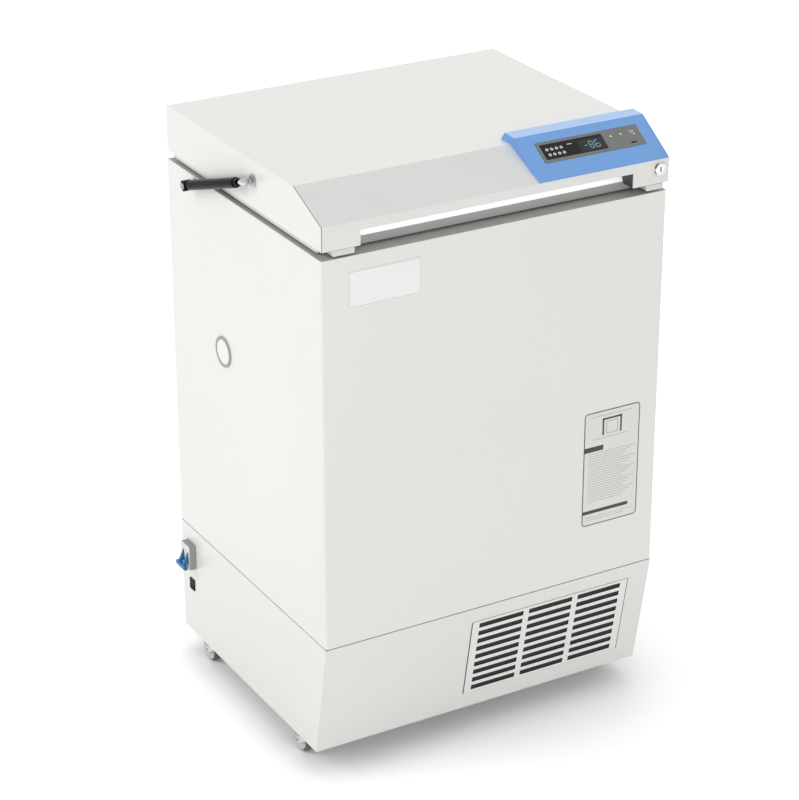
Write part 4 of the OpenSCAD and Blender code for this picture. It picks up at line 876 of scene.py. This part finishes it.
@dataclass
class Base:
    """The machine base with its skirt, grille and controls."""

    skirt_foot: Pair = (-0.255, 0.049)
    lean: float = math.atan2(0.042, 0.222)
    grille_middle: Pair = (0.1235, 0.11337)
    grille_size: Pair = (0.322, 0.161)
    # Widths of the painted shade lines in the gap round the grille.
    gap_shadow_wide: float = 1.9 * MM
    edge_shadow_wide: float = 0.9 * MM
    line_thick: float = 0.4 * MM
    slot_pitch: Pair = (0.1016, 0.0175)
    slot_half: Pair = (0.0443, 0.0050)
    slot_last: tuple[int, int] = (1, 4)
    slot_round: float = 0.0038
    slot_wider: Pair = (0.0008, 0.0)
    slot_shift: float = -0.0004
    slot_corner: float = 0.0012
    slot_slack: float = 0.00005
    slot_span: Pair = (-0.026, 0.274)
    outward: Vector = field(default_factory=lambda: Vector((0, -0.9826, -0.1857)))

    def build(self, shop: Shop) -> None:
        """Dresses the base."""
        for node in ("base_front_panel", "base_side_panels", "base_rear_panel"):
            shop.soften(node, "cabinet", "base_enamel")
        grille = shop.soften("front_grille", "cabinet", "grille_white", 0.2 * MM, reshape=self.squared)
        # Painted shade: the slot walls and the grille's back are near-black.
        shop.recolour(grille, "gap_shade_black", self.in_slot_shade)
        self.grille_gap_shadows(shop)
        shop.paint("frame_grey", "base_frame")
        shop.paint("zinc_steel", "base_pan", "electrical_box")
        shop.paint("filter_black", "condenser_filter")
        shop.paint("fin_aluminium", "condenser")
        shop.paint("grey_plastic", "fan_shroud")
        shop.paint("black_plastic", "fan_blades", "power_inlet")
        shop.paint("black_enamel", "compressor")
        shop.paint("copper", "refrigerant_lines")
        case = shop.soften("breaker_case", "cabinet", "breaker_grey", 0.8 * MM, 3)
        shop.recolour(case, "breaker_white", lambda at, normal: normal.x < -0.9)
        shop.soften("breaker_lever", "breaker", "lever_blue", 0.7 * MM, 3)
        shop.soften("rocker_housing", "cabinet", "rocker_black", 0.5 * MM)
        shop.soften("rocker", "rocker_switch", "rocker_black", 0.5 * MM)

    def squared(self, at: Vector) -> Vector:
        """Squares up the end of a grille slot.

        Args:
            at: A corner of the grille's mesh.

        Returns:
            Its new place, or the same one where it lies on no slot.
        """
        place = self.grille_place()
        flat = place.inverted() @ at
        moved = [0.0, 0.0, flat.z]
        for axis, last in enumerate(self.slot_last):
            row = max(-last, min(last, round(flat[axis] / self.slot_pitch[axis])))
            off = flat[axis] - row * self.slot_pitch[axis]
            past = abs(off) - self.slot_half[axis]
            if past > self.slot_slack:
                return at.copy()
            end = self.slot_half[axis] + self.slot_wider[axis]
            share = self.slot_corner / self.slot_round
            reach = end - self.slot_corner + (past + self.slot_round) * share
            moved[axis] = row * self.slot_pitch[axis] + math.copysign(reach, off)
        moved[0] += self.slot_shift
        return place @ Vector(moved)

    def grille_gap_shadows(self, shop: Shop) -> None:
        """Draws painted shade in the gap round the grille: a dark line between the grille and the skirt at
        each side, and a thin grey one above and below.
        """
        wide, high = self.grille_size
        for name, finish, slot, size, at in (
            ("grille_gap_shadow", "gap_shade_black", "black_plastic", (self.gap_shadow_wide, high),
             (wide / 2 + 0.7 * MM, 0)),
            ("grille_edge_shadow", "print_and_gap_shade_grey", "grey_plastic", (wide, self.edge_shadow_wide),
             (0, high / 2 + 0.4 * MM)),
        ):
            pair = [box(name, (*size, self.line_thick), (side * at[0], side * at[1], 0))
                    for side in (-1, 1)]
            shop.fit(seat(joined(name + "s", pair), self.grille_place()), "cabinet", finish)

    def grille_place(self) -> Matrix:
        """Gives the grille's place on the sloping front: X across, Y up the slope, Z outwards."""
        skirt = slope_frame(Vector((0, *self.skirt_foot)), math.pi / 2 + self.lean)
        return skirt @ Matrix.Translation((*self.grille_middle, 0))

    def in_slot_shade(self, at: Vector, normal: Vector) -> bool:
        """Tells whether a face of the grille lines one of its slots or its back, which get painted shade."""
        left, right = self.slot_span
        return normal.dot(self.outward) < 0.3 and left < at.x < right


@dataclass
class Caster:
    """One caster: its fork, wheel and brake pedal."""

    corner: Corner
    tyre: float = 0.0185

    def build(self, shop: Shop) -> None:
        """Dresses the caster."""
        name = self.corner.value
        shop.soften("caster_fork_" + name, "fork_" + name, "zinc_steel")
        wheel = shop.soften("caster_wheel_" + name, "wheel_" + name, "wheel_grey", 0.3 * MM)
        middle = sum((Vector(p) for p in wheel.bound_box), Vector()) / 8
        shop.recolour(wheel, "tread_grey",
                      lambda at, normal: math.hypot(at.y - middle.y, at.z - middle.z) > self.tyre)
        shop.soften("caster_pedal_" + name, "pedal_" + name, "pedal_white")


@dataclass
class Lid:
    """The lid with its grip, gasket, plug and struts."""

    lip: float = 1.020
    foot: float = 0.9845
    grip: float = 0.262
    grip_end: float = 0.2
    stud_face: float = 0.3514
    lock_at: Pair = (0.3107, 1.0098)
    lock_bore: float = 8.6 * MM
    lock_rim: float = 9.5 * MM
    key_half: Pair = (1.3 * MM, 4.3 * MM)
    cover_wide: float = 0.066
    covers_at: tuple[Triple, ...] = (
        (-0.294, -0.2825, 0.028), (0.294, -0.2912, 0.0105), (0.294, -0.2735, 0.01))
    joint: float = 0.3279
    joint_widths: Pair = (1.1 * MM, 0.5 * MM)
    joint_deep: float = 0.3 * MM
    block_at: Pair = (-0.288, 0.3005)
    # Width and height of the painted shadow strip on each corner block.
    block_shadow_strip: Pair = (0.041, 1.2 * MM)
    lip_top: Vector = field(default_factory=lambda: Vector((0, -0.299, 1.0265)))
    ridge: Vector = field(default_factory=lambda: Vector((0, -0.207, 1.0665)))

    def build(self, shop: Shop) -> None:
        """Dresses the lid."""
        shop.soften("lid_shell", "lid", "white_enamel", 0.6 * MM, 3)
        fascia = shop.soften("lid_fascia", "lid", "fascia_white", 0.8 * MM, 3)
        # Painted shade: the fascia's up-facing slope is darker than its lip.
        shop.recolour(fascia, "fascia_slope_shade", lambda at, normal: normal.z > 0.6 and at.z > self.lip)
        self.joints(shop)
        frame = shop.soften("lid_frame", "lid", "frame_white", 0.8 * MM, 3)
        # Painted shade: the grip's back wall is darker than the rest of the frame.
        shop.recolour(frame, "grip_wall_shade", lambda at, normal: abs(at.x) < self.grip and normal.y < -0.9)
        # Painted highlight: the grip's upper strip glows white.
        shop.recolour(frame, "grip_glow_highlight",
                      lambda at, normal: abs(at.x) < self.grip and normal.y < -0.2 and normal.z > 0.05)
        # Painted shadow: the grip's right end wall is dark.
        shop.recolour(frame, "grip_end_shadow",
                      lambda at, normal: self.grip_end < at.x < self.grip and normal.x < -0.9
                      and at.z > self.foot)
        self.covers(shop)
        shop.soften("lid_inner_pan", "lid", "frame_white", 1.5 * MM, 3)
        shop.paint("pu_foam", "lid_foam")
        shop.soften("lid_gasket", "lid", "gasket_grey", 0.8 * MM, 3)
        for node in ("lid_hinge_leaves", "strut_lid_mounts"):
            shop.soften(node, "lid", "zinc_steel")
        studs = shop.soften("strut_cabinet_mounts", "cabinet", "zinc_steel")
        shop.recolour(studs, "ring_grey", lambda at, normal: abs(at.x) > self.stud_face)
        for side in ("left", "right"):
            shop.soften("strut_tube_" + side, "tube_" + side, "tube_black", 0.6 * MM, 3)
            shop.soften("strut_rod_" + side, "rod_" + side, "chrome", 0.3 * MM)
        body = shop.soften("lock_body", "lid", "lock_nickel", 0.8 * MM, 3)
        # Painted shade: the groove round the lock's core is near-black.
        shop.recolour(body, "gap_shade_black",
                      lambda at, normal: abs(normal.y) < 0.5 and self.from_lock(at) < self.lock_bore)
        # Painted reflection: dark bands round the lock collar's side, as chrome mirrors a darker surround.
        shop.recolour(body, "print_and_reflection_dark",
                      lambda at, normal: abs(normal.y) < 0.9 and 0.25 < abs(normal.z) < 0.93
                      and self.from_lock(at) > self.lock_rim)
        core = shop.soften("lock_core", "lock", "lock_nickel", 0.4 * MM, 3)
        # Painted shade: the keyhole's walls are near-black.
        shop.recolour(core, "gap_shade_black",
                      lambda at, normal: abs(at.x - self.lock_at[0]) < self.key_half[0]
                      and abs(at.z - self.lock_at[1]) < self.key_half[1] and normal.y > -0.97)

    def covers(self, shop: Shop) -> None:
        """Closes the lid's foot beside the grip, with a slit for the lock's cam on the right."""
        parts = []
        for x, y, deep in self.covers_at:
            part = plate("foot_cover", self.cover_wide, deep, 1.2 * MM, 1.5 * MM, 0.3 * MM, 3)
            parts.append(seat(part, Matrix.Translation((x, y, self.foot + 0.1 * MM))))
        shop.fit(joined("foot_covers", parts), "lid", "frame_white")

    def joints(self, shop: Shop) -> None:
        """Draws the fine joint between the lid's sides and its front, up the lip and the slope, and a grey
        strip along the top of each corner block as the painted shadow of the lip's lower edge.
        """
        strips = []
        rise = self.ridge - self.lip_top
        slope = slope_frame(self.lip_top, math.atan2(rise.z, rise.y))
        up = self.lip_top.z - self.foot
        deep = self.joint_deep
        for x, wide in zip((-self.joint, self.joint), self.joint_widths):
            strips.append(box("joint_and_shadow_strip", (wide, deep, up), (x, self.lip_top.y, self.foot + up / 2)))
            strip = box("joint_and_shadow_strip", (wide, rise.length, deep), (x, rise.length / 2, 0))
            strips.append(seat(strip, slope))
        # Painted shadow of the lip's lower edge across each corner block.
        wide, high = self.block_shadow_strip
        for x in self.block_at:
            middle = (x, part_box("lid_frame")[0][1], self.foot - 0.7 * MM)
            strips.append(box("joint_and_shadow_strip", (wide, deep, high), middle))
        shop.fit(joined("fascia_joints_and_lip_shadows", strips), "lid", "joint_and_shadow_grey")

    def from_lock(self, at: Vector) -> float:
        """Gives how far a point lies from the lock's axis."""
        return math.hypot(at.x - self.lock_at[0], at.z - self.lock_at[1])


@dataclass
class Console:
    """The control console with its panel, display and printed keys."""

    side: float = 0.3285
    foot: Vector = field(default_factory=lambda: Vector((0, -0.299, 1.0285)))
    head: Vector = field(default_factory=lambda: Vector((0, -0.219, 1.0798)))
    # Width and length in millimetres of the painted shade strip along the console's right edge.
    edge: Pair = (1.3, 92.0)
    lamp_wide: float = 5.4 * MM
    lamp_left: float = 118.7
    lamp_pitch: float = 9.3
    lamp_rows: Pair = (60.0, 49.0)
    lamp_bar: Pair = (164.0, 63.4)
    digit_row: float = 54.0
    window: Pair = (50 * MM, 24 * MM)
    window_at: float = 205.0

    def place(self) -> Matrix:
        """Gives the sloping face's place."""
        rise = self.head - self.foot
        return slope_frame(self.foot, math.atan2(rise.z, rise.y))

    def at(self, x: float, v: float, up: float = 0.0) -> Matrix:
        """Gives a place on the face, from millimetres across and up the slope."""
        return self.place() @ Matrix.Translation((x * MM, v * MM, up * MM))

    def build(self, shop: Shop) -> None:
        """Dresses the console."""
        housing = shop.soften("console_housing", "lid", "console_blue", 1.6 * MM, 3)
        # Painted highlight: the console's flat top is lighter.
        shop.recolour(housing, "console_top_highlight", lambda at, normal: normal.z > 0.97 and at.z > 1.075)
        shop.soften("control_panel", "lid", "panel_grey", 0.2 * MM)
        shop.soften("display_window", "lid", "display_black", 0.3 * MM)
        # Painted shade: a darker blue strip along the console's right edge.
        wide, long = self.edge
        edge = box("console_edge_shade_strip", (wide * MM, long * MM, 0.3 * MM), (0, long / 2 * MM, 0))
        shop.fit(seat(edge, self.at(self.side / MM - 1.0, 1.0)), "lid", "console_edge_shade")
        self.lamps(shop)
        self.digits(shop)
        self.keys(shop)

    def lamps(self, shop: Shop) -> None:
        """Makes the two rows of round status lamps and the short bar."""
        marks = []
        for row, v in enumerate(self.lamp_rows):
            for i in range(4):
                wide = self.lamp_wide
                ring = plate("lamp_ring", wide, wide, 0.25 * MM, 2.69 * MM, inset=1.5 * MM)
                across = self.lamp_left + self.lamp_pitch * i + 0.6 * row
                marks.append(seat(ring, self.at(across, v, 0.15)))
        bar = box("lamp_bar", (9 * MM, 1.3 * MM, 0.3 * MM), (0, 0, 0.1 * MM))
        marks.append(seat(bar, self.at(*self.lamp_bar, 0.15)))
        shop.fit(joined("status_lamps", marks), "lid", "print_white")

    def digits(self, shop: Shop) -> None:
        """Makes the seven-segment reading."""
        level, upright = (5.4, 1.5), (1.5, 5.6)
        bars = {"a": (0, 7, level), "g": (0, 0, level), "d": (0, -7, level), "f": (-3.6, 3.5, upright),
                "b": (3.6, 3.5, upright), "e": (-3.6, -3.5, upright), "c": (3.6, -3.5, upright)}
        reading = [("g", 192.5), ("abcdefg", 203.0), ("acdefg", 214.5)]
        parts = []
        for lit, x in reading:
            for dx, dv, (wide, high) in (bars[key] for key in lit):
                part = box("segment", (wide * MM, high * MM, 0.2 * MM), (0, 0, 0.1 * MM))
                parts.append(seat(part, self.at(x + dx, self.digit_row + dv, 0.12)))
        shop.fit(joined("temperature_digits", parts), "lid", "segment_light")
        window = plate("digit_window", *self.window, 0.1 * MM, 1 * MM)
        place = self.at(self.window_at, self.digit_row, 0.08)
        shop.fit(seat(window, place), "lid", "window_tint")

    def keys(self, shop: Shop) -> None:
        """Makes the marks of the three membrane keys and the card slot."""
        parts = []
        radius, high = 2.9 * MM, 0.3 * MM
        for x, v, turn in ((245.5, 62.4, 0.0), (265.7, 62.9, math.pi)):
            mark = turned("key_arrow", [(radius, 0.0), (radius, high)], 3)
            parts.append(seat(mark, self.at(x, v, 0.25) @ Matrix.Rotation(turn, 4, "Z")))
        parts.append(seat(plate("key_set", 7 * MM, 4.4 * MM, 0.3 * MM, 1.4 * MM, inset=0.8 * MM),
                          self.at(287.6, 64.0, 0.25)))
        parts.append(seat(box("key_lock", (3.2 * MM, 2.4 * MM, 0.3 * MM), (0, 0, 0.15 * MM)),
                          self.at(290.2, 58.4, 0.25)))
        shop.fit(joined("key_marks", parts), "lid", "print_white")
        slot = plate("card_slot", 11 * MM, 3.2 * MM, 0.3 * MM, 1.3 * MM)
        shop.fit(seat(slot, self.at(281.5, 41.9, 0.2)), "lid", "display_black")


@dataclass
class Studio:
    """The floor, the light and the camera."""

    camera_at: Triple = (-2.1119, -3.6515, 2.4830)
    azimuth: float = -29.845
    elevation: float = 24.749
    roll: float = -0.0315
    lens: float = 117.80
    sky: float = 0.60
    floor_tone: float = 0.95
    floor_seen: float = 1.36
    lift_near: float = 0.03
    lift_far: float = 0.35
    shadow_reach: float = 0.14
    painted_shadow_tone: float = 0.82
    fade: Pair = (0.45, 1.0)
    aim: Vector = field(default_factory=lambda: Vector((0, 0, 0.55)))

    def build(self) -> None:
        """Sets the studio up."""
        self.camera()
        self.floor()
        self.light()

    def camera(self) -> None:
        """Makes the camera at the picture's place."""
        a, e, t = (math.radians(v) for v in (self.azimuth, self.elevation, self.roll))
        back = Vector((math.sin(a) * math.cos(e), -math.cos(a) * math.cos(e), math.sin(e)))
        across = Vector((math.cos(a), math.sin(a), 0))
        up = back.cross(across)
        right = math.cos(t) * across + math.sin(t) * up
        top = -math.sin(t) * across + math.cos(t) * up
        turn = Matrix((right, top, back)).transposed().to_4x4()
        data = bpy.data.cameras.new("studio_camera")
        data.lens, data.sensor_width, data.clip_end = self.lens, 36.0, 50.0
        camera = bpy.data.objects.new("studio_camera", data)
        camera.matrix_world = Matrix.Translation(self.camera_at) @ turn
        bpy.context.scene.collection.objects.link(camera)
        bpy.context.scene.camera = camera

    def floor(self) -> None:
        """Lays a pale floor that reads as white and keeps the soft shadow, deepened near the freezer by a
        painted contact shadow from ambient occlusion.
        """
        deselect()
        bpy.ops.mesh.primitive_plane_add(size=40)
        floor = named(bpy.context.object, "studio_floor")
        material = bpy.data.materials.new("studio_white")
        g = cleared(material)
        clear = g.backdrop()
        reach = g.add("VectorMath", {0: g.place()}, operation="LENGTH").outputs["Value"]
        fade = g.span(reach, self.fade, (self.lift_near, self.lift_far), interpolation_type="SMOOTHSTEP")
        lift = g.math("MULTIPLY", clear, fade)
        tone = g.span(clear, wanted=(self.floor_tone, self.floor_seen))
        # Painted shadow: the floor's colour darkens where ambient occlusion finds the freezer close by.
        occlusion = g.add("AmbientOcclusion", {"Distance": self.shadow_reach}, samples=16).outputs["AO"]
        shaded = g.math("MULTIPLY", tone, g.span(occlusion, (0.35, 1.0), (self.painted_shadow_tone, 1.0)))
        matt = g.add("BsdfDiffuse", {"Color": shaded})
        light = g.add("Emission", {"Strength": lift})
        both = g.add("AddShader", {0: matt.outputs[0], 1: light.outputs[0]})
        g.add("OutputMaterial", {"Surface": both.outputs[0]})
        floor.data.materials.append(material)

    def light(self) -> None:
        """Sets soft daylight all round and three large lamps: left, front and above."""
        world = bpy.data.worlds.new("studio_world")
        bpy.context.scene.world = world
        g = cleared(world)
        strength = g.span(g.backdrop(), wanted=(self.sky, 1.0))
        sky = g.add("Background", {"Color": WHITE, "Strength": strength})
        g.add("OutputWorld", {"Surface": sky.outputs[0]})
        for name, at, size, power in (
            ("key_lamp", (-6.0, 2.0, 4.5), 4.0, 118.0),
            ("front_lamp", (-1.8, -4.8, 1.9), 3.0, 45.0),
            ("top_lamp", (0.4, 0.6, 4.4), 2.6, 24.0),
        ):
            data = bpy.data.lights.new(name, "AREA")
            data.size, data.energy = size, power
            lamp = bpy.data.objects.new(name, data)
            lamp.location = at
            lamp.visible_glossy = False
            lamp.rotation_euler = (self.aim - Vector(at)).to_track_quat("-Z", "Y").to_euler()
            bpy.context.scene.collection.objects.link(lamp)


def main() -> None:
    """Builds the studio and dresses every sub-assembly."""
    logging.basicConfig(level=logging.INFO, format="%(message)s")
    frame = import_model()
    bpy.context.scene.view_settings.view_transform = "Standard"
    Studio().build()
    shop = Shop(frame, Finishes(Effects()))
    shop.paint("zinc_steel", "caster_plates")
    for part in (Cabinet(), Base(), *(Caster(corner) for corner in Corner), Lid(), Console()):
        part.build(shop)
        log.info("%s is dressed", type(part).__name__)
    deselect()


if __name__ == "__main__":
    main()
